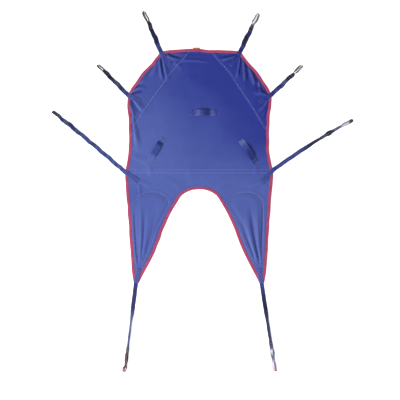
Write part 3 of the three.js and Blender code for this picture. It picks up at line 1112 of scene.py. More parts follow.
STRAPS = (
    StrapCut(
        "left_head", "head", (-236, 760), (-341, 1008), (-180, 679), 7, (60, 70), 14.0, ((184, 261, 8),),
        ((0, NAVY), (40, BLUE), (64, DEEP_NAVY), (110, DEEP_NAVY), (150, DEEP_NAVY)),
        ((140, DEEP_NAVY), (192, DEEP_NAVY), (204, PALE_GREEN), (240, PALE_GREEN), (262, GREY)),
        ((140, DEEP_NAVY), (190, BLACK), (240, BLACK), (262, GREY)), "green_loop_webbing",
        flares=(-34.0, 18.0), rumple=0.16, fullness=5.0,
    ),
    StrapCut(
        "right_head", "head", (254, 760), (366, 995), (196, 676), 7, (60, 70), 12.0, ((172, 252, 10),),
        ((0, DEEP_NAVY), (36, BLUE), (52, DEEP_NAVY), (100, DEEP_NAVY), (150, NAVY)),
        ((140, NAVY), (172, BLACK), (200, BLACK), (225, SLATE), (256, GREY)),
        ((140, DEEP_NAVY), (172, BLACK), (190, GREY), (236, SLATE), (256, GREY)), "grey_loop_webbing",
        flares=(20.0, 24.0), rumple=0.16, fullness=6.0,
    ),
    StrapCut(
        "left_shoulder", "back", (-440, 493), (-626, 679), (-366, 450), 9, (60, 70), 20.0, ((198, 255, 7),),
        ((0, NAVY), (36, BLUE), (60, DEEP_NAVY), (100, SLATE), (150, DEEP_NAVY)),
        ((150, DEEP_NAVY), (214, DEEP_NAVY), (228, PALE_GREEN), (246, PALE_GREEN), (262, GREY)),
        ((150, DEEP_NAVY), (212, BLACK), (240, BLACK), (262, GREY)), "green_loop_webbing",
        flares=(-24.0, 20.0), rumple=0.14, fullness=2.0,
    ),
    StrapCut(
        "right_shoulder", "back", (447, 493), (639, 673), (372, 447), 9, (60, 70), 20.0, ((180, 254, 8),),
        ((0, NAVY), (40, BLUE), (80, NAVY), (120, SLATE), (150, DEEP_NAVY)),
        ((150, DEEP_NAVY), (236, BLACK), (256, GREY)),
        ((150, DEEP_NAVY), (186, BLACK), (206, GREY), (244, LILAC), (260, GREY)), "lilac_loop_webbing",
        flares=(26.0, -26.0), rumple=0.14, fullness=3.0,
    ),
    StrapCut(
        "left_hip", "seat", (-459, 16), (-905, 388), (-378, -40), 10, (80, 200), 14.0,
        ((404, 482, 5), (496, 572, 4)), BANDED,
        ((370, MID_NAVY), (500, MID_NAVY), (545, DEEP_NAVY), (580, BLACK)),
        ((370, MID_NAVY), (452, NAVY), (468, SLATE), (486, SLATE), (500, BLUE), (545, DEEP_NAVY),
         (580, BLACK)),
        "grey_loop_webbing", -4, True, end_tilt=60.0, rumple=0.14, tail_half=19.0,
    ),
    StrapCut(
        "right_hip", "seat", (459, 28), (949, 338), (391, -47), 10, (190, 160), 50.0,
        ((388, 438, 7), (486, 571, 6.5)),
        ((0, BLUE), (60, MID_NAVY), (120, BLUE), (200, MID_NAVY), (280, DEEP_NAVY)),
        ((370, DEEP_NAVY), (436, DEEP_NAVY), (452, SLATE), (510, SLATE), (548, GREY), (564, BLACK)),
        ((370, DEEP_NAVY), (436, DEEP_NAVY), (452, SLATE), (498, SLATE), (512, LILAC), (546, LILAC),
         (562, BLACK)),
        "lilac_loop_webbing", 9, end_tilt=76.0, flares=(30.0, 24.0), rumple=0.05, tail_half=19.0,
    ),
    StrapCut(
        "left_leg", "left_leg", (-391, -673), (-459, -1218), (-372, -586), 5, (140, 100), 54.0,
        ((430, 500, 4), (514, 545, 8)), ((0, NAVY), (150, NAVY), (240, SLATE), (400, NAVY)),
        ((390, MAROON), (505, MAROON), (525, MAROON), (549, ROSE)),
        ((390, MAROON), (505, MAROON), (525, MAROON), (549, ROSE)), "pink_loop_webbing",
        end_tilt=66.0, flares=(36.0, 34.0), rumple=0.03,
    ),
    StrapCut(
        "right_leg", "right_leg", (388, -673), (471, -1218), (372, -586), 5, (150, 90), 44.0,
        ((404, 462, 7), (474, 545, 8)), ((0, MID_NAVY), (110, DEEP_NAVY), (300, DEEP_NAVY)),
        ((370, DEEP_NAVY), (408, GREY), (456, LILAC), (474, PINK), (500, LILAC), (551, LILAC)),
        ((370, DEEP_NAVY), (404, DEEP_NAVY), (420, LILAC), (456, SLATE), (474, SLATE), (500, LILAC),
         (551, PINK)),
        "pink_loop_webbing", end_tilt=76.0, flares=(-22.0, 18.0), rumple=0.03,
    ),
)


class Lie:
    """How the cloth lies: the height of its middle over the ground at each plan place.

    Its methods take plan distances x from the centre line and plan heights y from the hip seam,
    and give millimetres, shaped like x.
    """

    WEBBING_HALF = 400.0
    GATHER_STRENGTH = 1.25
    # Slow waves: radians a millimetre across and along, height and phase.
    WAVES = ((0.021, 0.012, 0.5, 0.8), (-0.013, 0.031, 0.4, 2.1), (0.043, -0.036, 0.22, 4.4),
             (0.008, 0.058, 0.25, 1.3), (0.074, 0.021, 0.14, 5.2), (-0.061, 0.083, 0.12, 3.3))
    CREASE_REACH = 11.0

    def height(self, x: Array, y: Array) -> Array:
        """The cloth's height: flat cloth, creases, seams, pads and a slow unevenness.

        Creases are let down towards the edge, where the binding holds the cloth flatter, and
        the height never sinks below what lies under the cloth.
        """
        edge = CUT.from_edge(x, y)
        hold = 0.3 + 0.7 * smooth((edge - 4) / 34)
        gathered = sum(crease.height(x, y) for crease in HEAD_CREASES + SHOULDER_CREASES)
        smoother = sum(crease.height(x, y) for crease in BODY_CREASES + LEG_CREASES)
        folds = gathered * self.GATHER_STRENGTH + smoother + self.billow(x, y)
        small = self.unevenness(x, y) + self.puckers(x, y, edge)
        made = folds * hold + small + self.seams(x, y) + self.pad(x, y)
        floor = CLOTH_LOWEST - CLOTH_MIDDLE
        soft = np.logaddexp(0.0, (made - floor) * 1.6) / 1.6 + floor
        return CLOTH_MIDDLE + soft

    def billow(self, x: Array, y: Array) -> Array:
        """The looser stretches that stand off the ground: the gussets and the legs."""
        side = np.abs(x - CUT.drift(y)) - CUT.seam(y)
        gusset = 2.6 * smooth((side + 30) / 90) * smooth((y - 330) / 90)
        leg = 2.4 * smooth((-150 - y) / 90) * smooth((y + 660) / 80)
        return gusset + leg

    def unevenness(self, x: Array, y: Array) -> Array:
        """A sum of slow slanting waves, from 60 to 300 mm long and under 1 mm high."""
        return sum(h * np.sin(a * x + b * y + c) for a, b, h, c in self.WAVES)

    def puckers(self, x: Array, y: Array, edge: Array) -> Array:
        """Short waves where stitching draws the cloth in: along the edge and the seams."""
        run = (np.abs(x) * 0.62 + y) * 0.36
        wave = np.sin(run + 1.9 * np.sin(run * 0.23)) * np.sin(run * 0.41 + 0.7)
        seam = np.abs(np.abs(x - CUT.drift(y)) - CUT.seam(y)) * 0.8
        near = bell((edge - 24) / 16) + 0.8 * bell(seam / 16) * (y > 270)
        return 0.55 * wave * near

    def seams(self, x: Array, y: Array) -> Array:
        """Sewn layers: the lapped gusset seams and the webbing under the hip seam."""
        slope = (CUT.seam(y + 5) - CUT.seam(y - 5)) / 10
        off = (np.abs(x - CUT.drift(y)) - CUT.seam(y)) / np.sqrt(1 + slope**2)
        sunk = bell((off - SEAM_ROWS) / 0.9) + bell((off + SEAM_ROWS) / 0.9)
        lap = 0.9 * smooth((5.5 - np.abs(off)) / 2.0) - 0.5 * sunk
        ends = smooth((self.WEBBING_HALF + 3 - np.abs(x)) / 4)
        strip = smooth((14.5 - np.abs(y - Datum.WEBBING_Y)) / 3.5) * ends
        rows = sum(bell((y - row) / 1.8) for row in HIP_ROWS)
        along = np.abs(x) < CUT.flank(y)
        return lap * (y > 255) + 1.1 * strip - 0.9 * rows * strip * along

    def pad(self, x: Array, y: Array) -> Array:
        """The foam's fullness, with a groove along its stitched outline."""
        depth = PAD.depth(x, y)
        full = 3.4 * smooth(depth / 34) + 0.8 * bell((depth + 7) / 6)
        groove = 0.8 * bell(depth / 3.0)
        return (full - groove) * smooth((-80 - y) / 20)

    def surface(self, x: Array, y: Array) -> Array:
        """The height of the upper surface: the cloth's, or the binding's near the edge."""
        edge = CUT.from_edge(x, y)
        tape = (TAPE_HALF - CLOTH_THICK / 2) * smooth((TAPE_WIDTH + 2 - edge) / 3)
        return self.height(x, y) + CLOTH_THICK / 2 + tape

    def painted_crease_shade(self, x: Array, y: Array) -> Array:
        """How much painted shade a place takes, from how far it lies below the cloth around it: 1 in a deep
        crease, -1 on a ridge.

        Where the cloth is gathered towards the upper straps, more painted shade is added.
        """
        reach = self.CREASE_REACH
        steps = ((reach, 0), (-reach, 0), (0, reach), (0, -reach))
        around = sum(self.height(x + a, y + b) for a, b in steps)
        anchors = (cut.anchor for cut in STRAPS if cut.parent in ("head", "back"))
        # Painted shade near the upper straps' anchors, added to the crease depth.
        gathered = sum(bell(np.hypot(x - a, y - b) / 85) for a, b in anchors)
        return np.clip((around / 4 - self.height(x, y)) / 2.0 + 0.4 * gathered, -1.0, 1.0)


LIE = Lie()


def rides(piece: bpy.types.Object, parent: str, child: str | None = None, bend: Bend | None = None) -> None:
    """Fastens a finished piece to its body; a piece that spans a joint only has its place baked into its
    mesh.

    Args:
        piece: The finished piece.
        parent: The body that it rides on, where it has no child.
        child: The body past the joint; given, the piece is fastened to no body.
        bend: The two frame points of the joint; not used.
    """
    if child is None:
        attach(piece, parent)
    else:
        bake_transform(piece)
    LOG.info("%s: %d faces", piece.name, len(piece.data.polygons))


def fitted(shape: Shape, name: str, finish: Finish, parent: str, child: str | None = None,
           bend: Bend | None = None, replaced: tuple[str, ...] = ()) -> None:
    """Makes a shape a piece in its finish and hands it to rides, which fastens it where it has no child.

    Args:
        shape: The shape.
        name: The piece's name.
        finish: What it is made of.
        replaced: The solids that it stands for.
    """
    made = shape.piece(name, finish.material())
    if replaced:
        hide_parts(*replaced)
    rides(made, parent, child, bend)


def bend_down(levels: Plan, x: float = 0.0) -> Bend:
    """The two frame points of a bend that runs along the sling between two plan heights."""
    return DATUM.point(x, levels[0]), DATUM.point(x, levels[1])


def leg_bend(side: int) -> Bend:
    """The bend where the leg on the given side joins the seat."""
    return bend_down(LEG_BEND, side * PAD.centre[0])


# ---- Cloth ----

@dataclass
class ClothBody:
    """The sewn cloth: centre panel, gussets, seat and legs, each a thin closed sheet.

    Attributes:
        pitch: The distance between points of the sheets.
        thickness: The cloth's thickness.
    """

    pitch: float = CLOTH_PITCH
    thickness: float = CLOTH_THICK

    def build(self) -> None:
        """Makes all the sheets and bakes their places into their meshes."""
        self.centre()
        for side, name in SIDES:
            self.gusset(side, name)
        self.seat()
        for side, name in SIDES:
            self.leg(side, name)

    def sheet(self, name: str, x: Array, y: Array, replaced: tuple[str, ...]) -> bpy.types.Object:
        """A closed sheet over a grid of plan places, as the cloth lies there.

        Args:
            name: The piece's name.
            x: Plan distances from the centre line, shaped (rows, columns).
            y: Plan heights, shaped the same.
            replaced: The solids that it stands for.

        Returns:
            The piece, whose flat places are the grid's plan places.
        """
        y = y - CUT.dip(x, y)
        z = LIE.height(x, y)
        middle = np.stack([x, y, z], axis=-1)
        normal = unit(np.cross(np.gradient(middle, axis=1), np.gradient(middle, axis=0)))
        normal *= np.sign(normal[..., 2:])
        half = normal * self.thickness / 2
        flat = np.stack([x, y], axis=-1)
        shape = shell(middle + half, middle - half, flat, LIE.painted_crease_shade(x, y))
        made = shape.piece(name, Finish.CLOTH.material())
        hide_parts(*replaced)
        return made

    def grid(self, width: float, length: float) -> tuple[Array, Array]:
        """Two parameters from 0 to 1, across in columns and along in rows.

        Args:
            width: The sheet's greatest width.
            length: Its length.

        Returns:
            Both parameters on the grid, whose points are about a pitch apart.
        """
        across = np.linspace(0.0, 1.0, round(width / self.pitch) + 1)
        along = np.linspace(0.0, 1.0, round(length / self.pitch) + 1)
        return np.meshgrid(across, along)

    def centre(self) -> None:
        """The centre panel above the hips: rows between the gusset seams, or the edges."""
        u, v = self.grid(860, CLOTH_TOP - SEAT_TOP)
        y = SEAT_TOP + (CLOTH_TOP - SEAT_TOP) * v
        below_neck = np.minimum(y, 480)
        half = np.minimum(CUT.seam(y), CUT.flank(below_neck) - EDGE_INSET)
        x = (2 * u - 1) * half + CUT.drift(y)
        made = self.sheet("centre_cloth", x, y, ("head_panel", "back_panel"))
        rides(made, "back", "head", bend_down(HEAD_BEND))

    def gusset(self, side: int, name: str) -> None:
        """A side gusset: rows ruled from its seam to the sling's edge.

        Args:
            side: 1 for right and -1 for left.
            name: The side's name.
        """
        seam = CUT.half_seam[(CUT.half_seam[:, 1] < CLOTH_TOP) & (CUT.half_seam[:, 1] > GUSSET_END + 2)]
        head = CUT.half_head[CUT.half_head[:, 0] > seam[0, 0] + 3] - np.array([0.0, EDGE_INSET])
        neck = CUT.half_neck - np.array([EDGE_INSET * 0.8, EDGE_INSET * 0.6])
        flank = CUT.half_flank[CUT.half_flank[:, 1] > GUSSET_END] - np.array([EDGE_INSET, 0.0])
        edge = np.vstack([head[:-1], neck[:-1], flank])
        rows = round(780 / self.pitch)
        inner, outer = resampled(seam, rows), resampled(edge, rows)
        u = np.linspace(0.0, 1.0, round(190 / self.pitch) + 1)[None, :, None]
        flat = inner[:, None] * (1 - u) + outer[:, None] * u
        x = side * flat[..., 0] + CUT.drift(flat[..., 1])
        replaced = (f"{name}_head_gusset", f"{name}_shoulder_gusset")
        made = self.sheet(f"{name}_gusset_cloth", x, flat[..., 1], replaced)
        rides(made, "back", "head", bend_down(HEAD_BEND))

    def seat(self) -> None:
        """The seat: rows between the edges, down to the crotch."""
        u, v = self.grid(910, SEAT_TOP - LEG_TOP)
        level = SEAT_TOP + (LEG_TOP - SEAT_TOP) * v
        x = (2 * u - 1) * (CUT.flank(level) - EDGE_INSET)
        low = np.maximum(LEG_TOP, CUT.crotch_height(x) + EDGE_INSET)
        low = np.where(np.abs(x) < CROTCH_HALF + 4, low, LEG_TOP)
        y = SEAT_TOP + (low - SEAT_TOP) * v
        made = self.sheet("seat_cloth", x, y, ("seat_panel",))
        rides(made, "back", "seat", bend_down(HIP_BEND))

    def leg(self, side: int, name: str) -> None:
        """A leg: rows from its inner edge to its outer edge, down to the strap.

        Args:
            side: 1 for right and -1 for left.
            name: The side's name.
        """
        u, v = self.grid(400, LEG_TOP - LEG_END)
        y = LEG_TOP + (LEG_END - LEG_TOP) * v
        inner = np.maximum(CUT.inner(np.minimum(y, LEG_TOP)) + EDGE_INSET, CROTCH_HALF)
        outer = CUT.flank(y) - EDGE_INSET
        x = side * (inner + (outer - inner) * u)
        made = self.sheet(f"{name}_leg_cloth", x, y, (f"{name}_leg_panel",))
        rides(made, "seat", f"{name}_leg", leg_bend(side))


# ---- Binding ----

@dataclass
class EdgeBinding:
    """The folded tape round the edge, sewn through with two rows of stitches.

    Attributes:
        pitch: The distance between its rings along the edge.
        rows: The stitch rows' distances from the fold.
        stitch: The length of a stitch and the distance from one to the next.
    """

    pitch: float = 5.0
    rows: Plan = (19.5, 4.5)
    stitch: Plan = (3.2, 4.4)

    def build(self) -> None:
        """Makes the tape in its lengths between the joints, and their thread."""
        flank = CUT.half_flank
        upper = flank[flank[:, 1] > SEAT_TOP]
        start = np.array([[np.interp(SEAT_TOP, flank[::-1, 1], flank[::-1, 0]), SEAT_TOP]])
        half = np.vstack([start, upper[::-1], CUT.half_neck[::-1][1:]])
        head = CUT.drifted(CUT.half_head)[1:-1]
        whole = np.vstack([CUT.mirrored(half, -1), head, CUT.mirrored(half, 1)[::-1]])
        parts = [f"{name}_{part}_binding" for part in ("neck", "side") for _, name in SIDES]
        self.length("upper", [whole], ("head_binding", *parts), "back", "head", bend_down(HEAD_BEND))
        for side, name in SIDES:
            hip = self.flank_between(SEAT_TOP, LEG_TOP)
            leg = self.flank_between(LEG_TOP, LEG_END)
            crotch = CUT.half_crotch[CUT.half_crotch[:, 0] > CROTCH_HALF]
            lines = [self.clockwise(hip, side)]
            self.length(f"{name}_hip", lines, (f"{name}_hip_binding",), "back", "seat", bend_down(HIP_BEND))
            lines = [self.clockwise(leg, side), self.clockwise(crotch, side)]
            replaced = (f"{name}_leg_outer_binding", f"{name}_leg_inner_binding")
            self.length(f"{name}_leg", lines, replaced, "seat", f"{name}_leg", leg_bend(side))
        x = np.linspace(CROTCH_HALF, -CROTCH_HALF, 20)
        middle = np.stack([x, CUT.crotch_height(x)], axis=1)
        self.length("crotch", [middle], ("crotch_binding",), "seat")

    def flank_between(self, high: float, low: float) -> Array:
        """The right-hand flank edge from one plan height down to another."""
        y = np.linspace(high, low, max(4, round((high - low) / self.pitch)))
        return np.stack([CUT.flank(y), y], axis=1)

    @staticmethod
    def clockwise(line: Array, side: int) -> Array:
        """A right-hand line that runs clockwise round the cloth, on either side."""
        return line if side > 0 else line[::-1] * np.array([-1.0, 1.0])

    def length(self, name: str, lines: list[Array], replaced: tuple[str, ...], parent: str,
               child: str | None = None, bend: Bend | None = None) -> None:
        """One length of tape with its stitches.

        Args:
            name: What the length is called.
            lines: Its edge lines, each clockwise round the cloth.
            replaced: The solids that it stands for.
            parent, child, bend: What it rides on, as for rides.
        """
        tape = Shape.joined([self.tape(line) for line in lines])
        fitted(tape, f"{name}_edge_tape", Finish.TAPE, parent, child, bend, replaced)
        rows = Shape.joined([self.thread(line, row) for line in lines for row in self.rows])
        fitted(rows, f"{name}_edge_stitching", Finish.RED_THREAD, parent, child, bend)

    def course(self, line: Array, pitch: float) -> tuple[Array, Array, Array]:
        """Points along an edge, the way into the cloth at each, and how far along each is.

        The way in is square to the edge's direction averaged over 12 mm either side, which
        rounds the tape over the corners. Past an end, the direction goes on turning as it does
        there, so that two lengths that meet have the same section.

        Args:
            line: The edge's plan points, clockwise round the cloth.
            pitch: The distance from one point of the result to the next.

        Returns:
            The points, the unit ways in, and the distances along.
        """
        length = np.linalg.norm(np.diff(line, axis=0), axis=1).sum()
        points = resampled(line, max(6, round(length / pitch)))
        run = np.linspace(0.0, length, len(points))
        reach = min(round(12.0 / pitch), len(points) - 1)
        way = np.gradient(points, axis=0, edge_order=2)
        way = np.pad(way, ((reach, reach), (0, 0)), "reflect", reflect_type="odd")
        way = unit(sum(way[k:k + len(points)] for k in range(2 * reach + 1)))
        return points, np.stack([way[:, 1], -way[:, 0]], axis=1), run

    def reach(self, y: Array) -> Array:
        """The tape's width, which narrows where a leg's two edges meet."""
        return TAPE_WIDTH + (14.0 - TAPE_WIDTH) * smooth((-625 - y) / 47)

    def tape(self, line: Array) -> Shape:
        """The tape along one line: a folded strip carried round the cloth's edge.

        Its section goes from the upper flange's end over the rounded fold to the lower
        flange's end, and back along the inside, a tape's thickness in. Slow waves of the plan
        place vary its width and how tightly it is drawn over the edge.

        Args:
            line: The edge's plan points, clockwise round the cloth.

        Returns:
            The tape.
        """
        points, inward, run = self.course(line, self.pitch)
        deep = np.array([1.0, 0.97, 0.88, 0.81, 0.74, 0.5, 0.25, 0.19, 0.13, 0.06, 0.02, 0.0])
        rise = np.array([0.70, 0.96, 1.0, 0.80, 1.0, 1.02, 1.0, 0.82, 0.97, 0.85, 0.55, 0.2]) * TAPE_HALF
        deep = np.concatenate([deep, deep[::-1]])
        rise = np.concatenate([rise, -rise[::-1]])
        inside = np.sign(rise) * np.clip(np.abs(rise) - TAPE_THICK, 0.1, None)
        rise = np.concatenate([rise, inside[::-1]])
        deep = np.concatenate([deep, np.maximum(deep, 0.07)[::-1]])
        reach = self.reach(points[:, 1])[:, None]
        place = points @ (0.62, 0.86)
        wave = 0.7 * np.sin(place * 0.11 + 1.3 * np.sin(place * 0.037)) + 0.4 * np.sin(place * 0.29)
        drawn = 1.1 * np.sin(place * 0.041 + 2.2 * np.sin(place * 0.013)) + 0.2 * wave
        depth = deep[None, :] * (reach + wave[:, None] * (deep[None, :] > 0.5)) + drawn[:, None]
        plan = points[:, None, :] + inward[:, None, :] * depth[..., None]
        held = points[:, None, :] + inward[:, None, :] * np.maximum(depth, 5.0)[..., None]
        flutter = 0.08 * np.sin(place * 0.47 + 2 * np.sin(place * 0.061))[:, None] * (deep[None, :] > 0.5)
        z = LIE.height(held[..., 0], held[..., 1]) + rise[None, :] * (1 + flutter)
        width = np.cumsum(np.concatenate([[0.0], np.hypot(np.diff(deep * TAPE_WIDTH), np.diff(rise))]))
        half = len(deep) // 2
        across = width - width[half // 2]
        across[half:] = across[:half][::-1]
        flat = np.stack(np.broadcast_arrays(run[:, None], across[None, :]), axis=-1)
        return tube(raised(plan, z), flat)

    def thread(self, line: Array, row: float) -> Shape:
        """A row of stitches on the tape's upper face.

        Args:
            line: The edge's plan points, clockwise round the cloth.
            row: The row's distance from the fold.

        Returns:
            The stitches.
        """
        points, inward, _ = self.course(line, self.stitch[1])
        depth = np.minimum(row, self.reach(points[:, 1]) - 3.0) if row > 10 else np.full(len(points), row)
        place = points + inward * depth[:, None]
        centres = (place[1:] + place[:-1]) / 2
        z = LIE.height(centres[:, 0], centres[:, 1]) + TAPE_HALF - 0.05
        way = unit(np.diff(raised(place, LIE.height(*place.T)), axis=0))
        return stitches(raised(centres, z), way, upward(way), self.stitch[0], 0.4)


# ---- Stitching on the cloth ----

def sewn(line: Array, over: float, radius: float, pitch: float = 3.8, length: float = 3.3) -> Shape:
    """A row of stitches along a plan line, lying on the sling's upper surface.

    Args:
        line: The plan line.
        over: How far above the surface the thread's middle lies.
        radius: The thread's radius.
        pitch: The distance from one stitch to the next.
        length: A stitch's length.

    Returns:
        The stitches.
    """
    run = np.linalg.norm(np.diff(line, axis=0), axis=1).sum()
    points = resampled(line, max(1, round(run / pitch)))
    return stitched(raised(points, LIE.surface(*points.T) + over), length, radius)


@dataclass
class SeamStitching:
    """The rows of pale thread that show on the cloth's upper side.

    Attributes:
        seam_span: The plan heights between which the gusset seams' thread shows.
        hip_margin: How far the hip rows stop short of the sling's sides.
    """

    seam_span: Plan = (276.0, 768.0)
    hip_margin: float = 26.0

    def build(self) -> None:
        """Makes the thread of the gusset seams, the hip seam and the leg pads."""
        low, high = self.seam_span
        seam = CUT.half_seam[(CUT.half_seam[:, 1] < high) & (CUT.half_seam[:, 1] > low)]
        slope = np.gradient(seam[:, 0], seam[:, 1])
        outward, size = np.stack([np.ones(len(seam)), -slope], axis=1), np.hypot(1, slope)[:, None]
        rows = [sewn(CUT.mirrored(seam + off * outward / size, side), 0.2, 0.5)
                for side, _ in SIDES for off in (-SEAM_ROWS, SEAM_ROWS)]
        fitted(Shape.joined(rows), "gusset_seam_stitching", Finish.THREAD,
               "back", "head", bend_down(HEAD_BEND))
        ends = [(CUT.flank(y) - self.hip_margin, y) for y in HIP_ROWS]
        rows = [sewn(np.array([[-x, y], [x, y]]), 0.3, 0.65) for x, y in ends]
        fitted(Shape.joined(rows), "hip_seam_stitching", Finish.THREAD,
               "back", "seat", bend_down(HIP_BEND))
        for side, name in SIDES:
            fitted(sewn(PAD.outline(side, 5.0), 0.5, 0.9), f"{name}_pad_stitching", Finish.THREAD,
                   "seat", f"{name}_leg", leg_bend(side))


# ---- Webbing ----

def webbing(centre: Array, across: Array, up: Array, width: float | Array, thickness: float,
            run: Array, tint: Array) -> Shape:
    """A strip of webbing with rounded edges, carried along a path.

    Its section is a flat strip whose edges are half rounds: from one edge over the face to
    the other edge, and back under it. No point of it goes below the ground.

    Args:
        centre: The path's points, one a row.
        across: The unit width directions, one a row.
        up: The unit directions of the face, one a row.
        width: The webbing's width, or its width at each point.
        thickness: Its thickness.
        run: How far along the webbing each point is.
        tint: The colour at each point, one a row.

    Returns:
        The strip.
    """
    edge = np.broadcast_to((np.asarray(width) - thickness) / 2, run.shape)[:, None]
    turn = np.linspace(-math.pi / 2, 0.0, 4) + math.pi / 2
    share = np.concatenate([-np.ones(4), np.linspace(-1.0, 1.0, 9)[1:-1], np.ones(4)])
    bulge = np.concatenate([-np.cos(turn), np.zeros(7), np.cos(turn[::-1])]) * thickness / 2
    rise = np.concatenate([np.sin(turn), np.ones(7), np.sin(turn[::-1])]) * thickness / 2 + 0.04
    a = edge * np.concatenate([share, share[::-1]]) + np.concatenate([bulge, bulge[::-1]])
    h = np.concatenate([rise, -rise[::-1]])
    ring = centre[:, None] + across[:, None] * a[..., None] + up[:, None] * h[None, :, None]
    ring[..., 2] = np.maximum(ring[..., 2], 0.05 + 0.02 * h)
    flat = np.stack(np.broadcast_arrays(run[:, None], a), axis=-1)
    return tube(ring, flat, tint=np.repeat(tint[:, None], len(h), axis=1))


def toned(run: Array, tones: Tones) -> Array:
    """The colour at each distance, faded from one given tone to the next."""
    places = [place for place, _ in tones]
    return np.stack([np.interp(run, places, [c[k] for _, c in tones]) for k in range(3)], axis=1)


class Strap:
    """One webbing strap with its sewn end, its loops and their thread.

    Distances s run along the strap from its anchor, one for each point asked for.
    """

    PATCH_ROWS, PATCH_COLUMNS = 61, 35

    def __init__(self, cut: StrapCut) -> None:
        """Works out the strap's straight line from its anchor to its tip.

        Args:
            cut: The strap's sizes and places.
        """
        self.cut = cut
        self.name, self.child = cut.name, f"{cut.name}_strap"
        self.root = np.array(cut.anchor, float)
        run = np.subtract(cut.tip, cut.anchor)
        self.length = float(np.hypot(*run))
        self.along = run / self.length
        self.side = np.array([-self.along[1], self.along[0]])
        self.lap = cut.pockets[0][0] - LAP_LENGTH

    def frames(self, s: Array) -> tuple[Array, Array, Array]:
        """The strap's middle, width direction and face direction at distances along it.

        The strap comes down from the sling's edge and tips over about its own line, by its
        lean first and the rest of a quarter turn before its end loop, unless it lies flat all
        along. Slow waves in its tilt and its line leave it slightly rumpled.

        Args:
            s: Distances from the anchor.

        Returns:
            The middles, the width directions and the face directions, one a row each.
        """
        start, length = self.cut.turn
        first = math.radians(self.cut.lean) * smooth((s - start) / length)
        loop = smooth((s - self.cut.pockets[-1][0] + 14) / 44)
        free = smooth((s - 40) / 60) * (1 - loop)
        angle = first * (1 - loop) + math.radians(self.cut.end_tilt) * loop
        angle = np.abs(angle + self.cut.rumple * free * np.sin(s * 0.066 + self.length))
        stack = 2.4 * smooth((s - start) / (self.lap - start)) + 1.5 * np.sin(angle) * free
        stack = np.maximum(stack, (self.offset(s) + 0.2) * (s > self.lap) * (not self.cut.flat))
        waves = 1.5 * np.sin(s * 0.061 + self.length) + 0.7 * np.sin(s * 0.14 + 2 * self.length)
        waves = waves * smooth(s / 50) * self.cut.rumple / 0.14
        bow = self.cut.bow * np.sin(math.pi * s / self.length) + waves
        plan = self.root + self.along * s[:, None] + self.side * bow[:, None]
        z = self.held(s) + STRAP_WIDTH / 2 * np.sin(angle) + (STRAP_MIDDLE + stack) * np.cos(angle)
        sin, cos = np.sin(angle)[:, None], np.cos(angle)[:, None]
        across = np.concatenate([self.side * cos, sin], axis=1)
        face = np.concatenate([-self.side * sin, cos], axis=1)
        return raised(plan, z), across, face

    def held(self, s: Array) -> Array:
        """How much higher the strap lies where it comes off the sling's upper surface."""
        edge = float(LIE.surface(*(self.root - self.along * 4))) + 0.1
        return edge * (1 - smooth((s - 3) / 30))

    def offset(self, s: Array) -> Array:
        """How far a loop layer's middle stands off the strap's middle, in millimetres."""
        middle = (self.cut.pockets[0][0] + self.cut.pockets[0][1]) / 2
        rest = np.where(s < middle, LAPPED, LAPPED / 2)
        for start, end, half in self.cut.pockets[:-1]:
            t = (s - start) / (end - start)
            opened = smooth(np.minimum(t, 1 - t) / 0.35) * ((t > 0) & (t < 1))
            rest = rest + (half + WEBBING_THICK / 2 - rest) * opened
        start, _, half = self.cut.pockets[-1]
        opened = smooth((s - start) / (0.4 * (self.length - start)))
        drawn_in = 1 - 0.2 * smooth((s - start) / (self.length - start) * 2 - 1)
        return rest + (half * drawn_in - rest) * opened

    def layer(self, s: Array, face: bool) -> tuple[Array, Array, Array]:
        """One loop layer of the strap.

        Args:
            s: Distances from the anchor.
            face: Whether it is the face layer, not the back one.

        Returns:
            The layer's middles, width directions and outward directions, one a row each.
        """
        centre, across, up = self.frames(s)
        off = self.offset(s)
        if self.cut.flat:
            off = 2 * off - LAPPED if face else np.full(len(s), -LAPPED)
        else:
            off = off if face else -off
        flare = 0.0 if self.cut.flat else math.radians(self.cut.flares[int(face)])
        leant = flare * smooth((s - self.cut.pockets[-1][0]) / 40)
        return centre + up * off[:, None], *self.leaned(across, up if face else -up, leant)

    @staticmethod
    def leaned(across: Array, out: Array, angle: Array) -> tuple[Array, Array]:
        """The two directions turned about the strap's line, which leans the top inward."""
        cos, sin = np.cos(angle)[:, None], np.sin(angle)[:, None]
        return across * cos - out * sin, out * cos + across * sin

    def build(self) -> None:
        """Makes the strap, its loops, its sewn end and its thread."""
        self.free_part()
        self.loops()
        self.patch()
        self.thread()

    def free_part(self) -> None:
        """The single strip, from under the patch to inside the lap of the loops."""
        s = np.linspace(-16.0, self.cut.pockets[0][0] - 5, 110)
        middle, reach = self.lap / 2 + 10, self.lap / 3
        width = STRAP_WIDTH + self.cut.fullness * bell((s - middle) / reach)
        strip = webbing(*self.frames(s), width, WEBBING_THICK, s, toned(s, self.cut.tones))
        here, there = (self.root + self.along * (self.cut.hinge + k) for k in (-3, 22))
        fitted(strip, f"{self.name}_webbing", Finish.STRAP, self.cut.parent, self.child,
               (DATUM.point(*here), DATUM.point(*there)), (f"{self.name}_strap",))

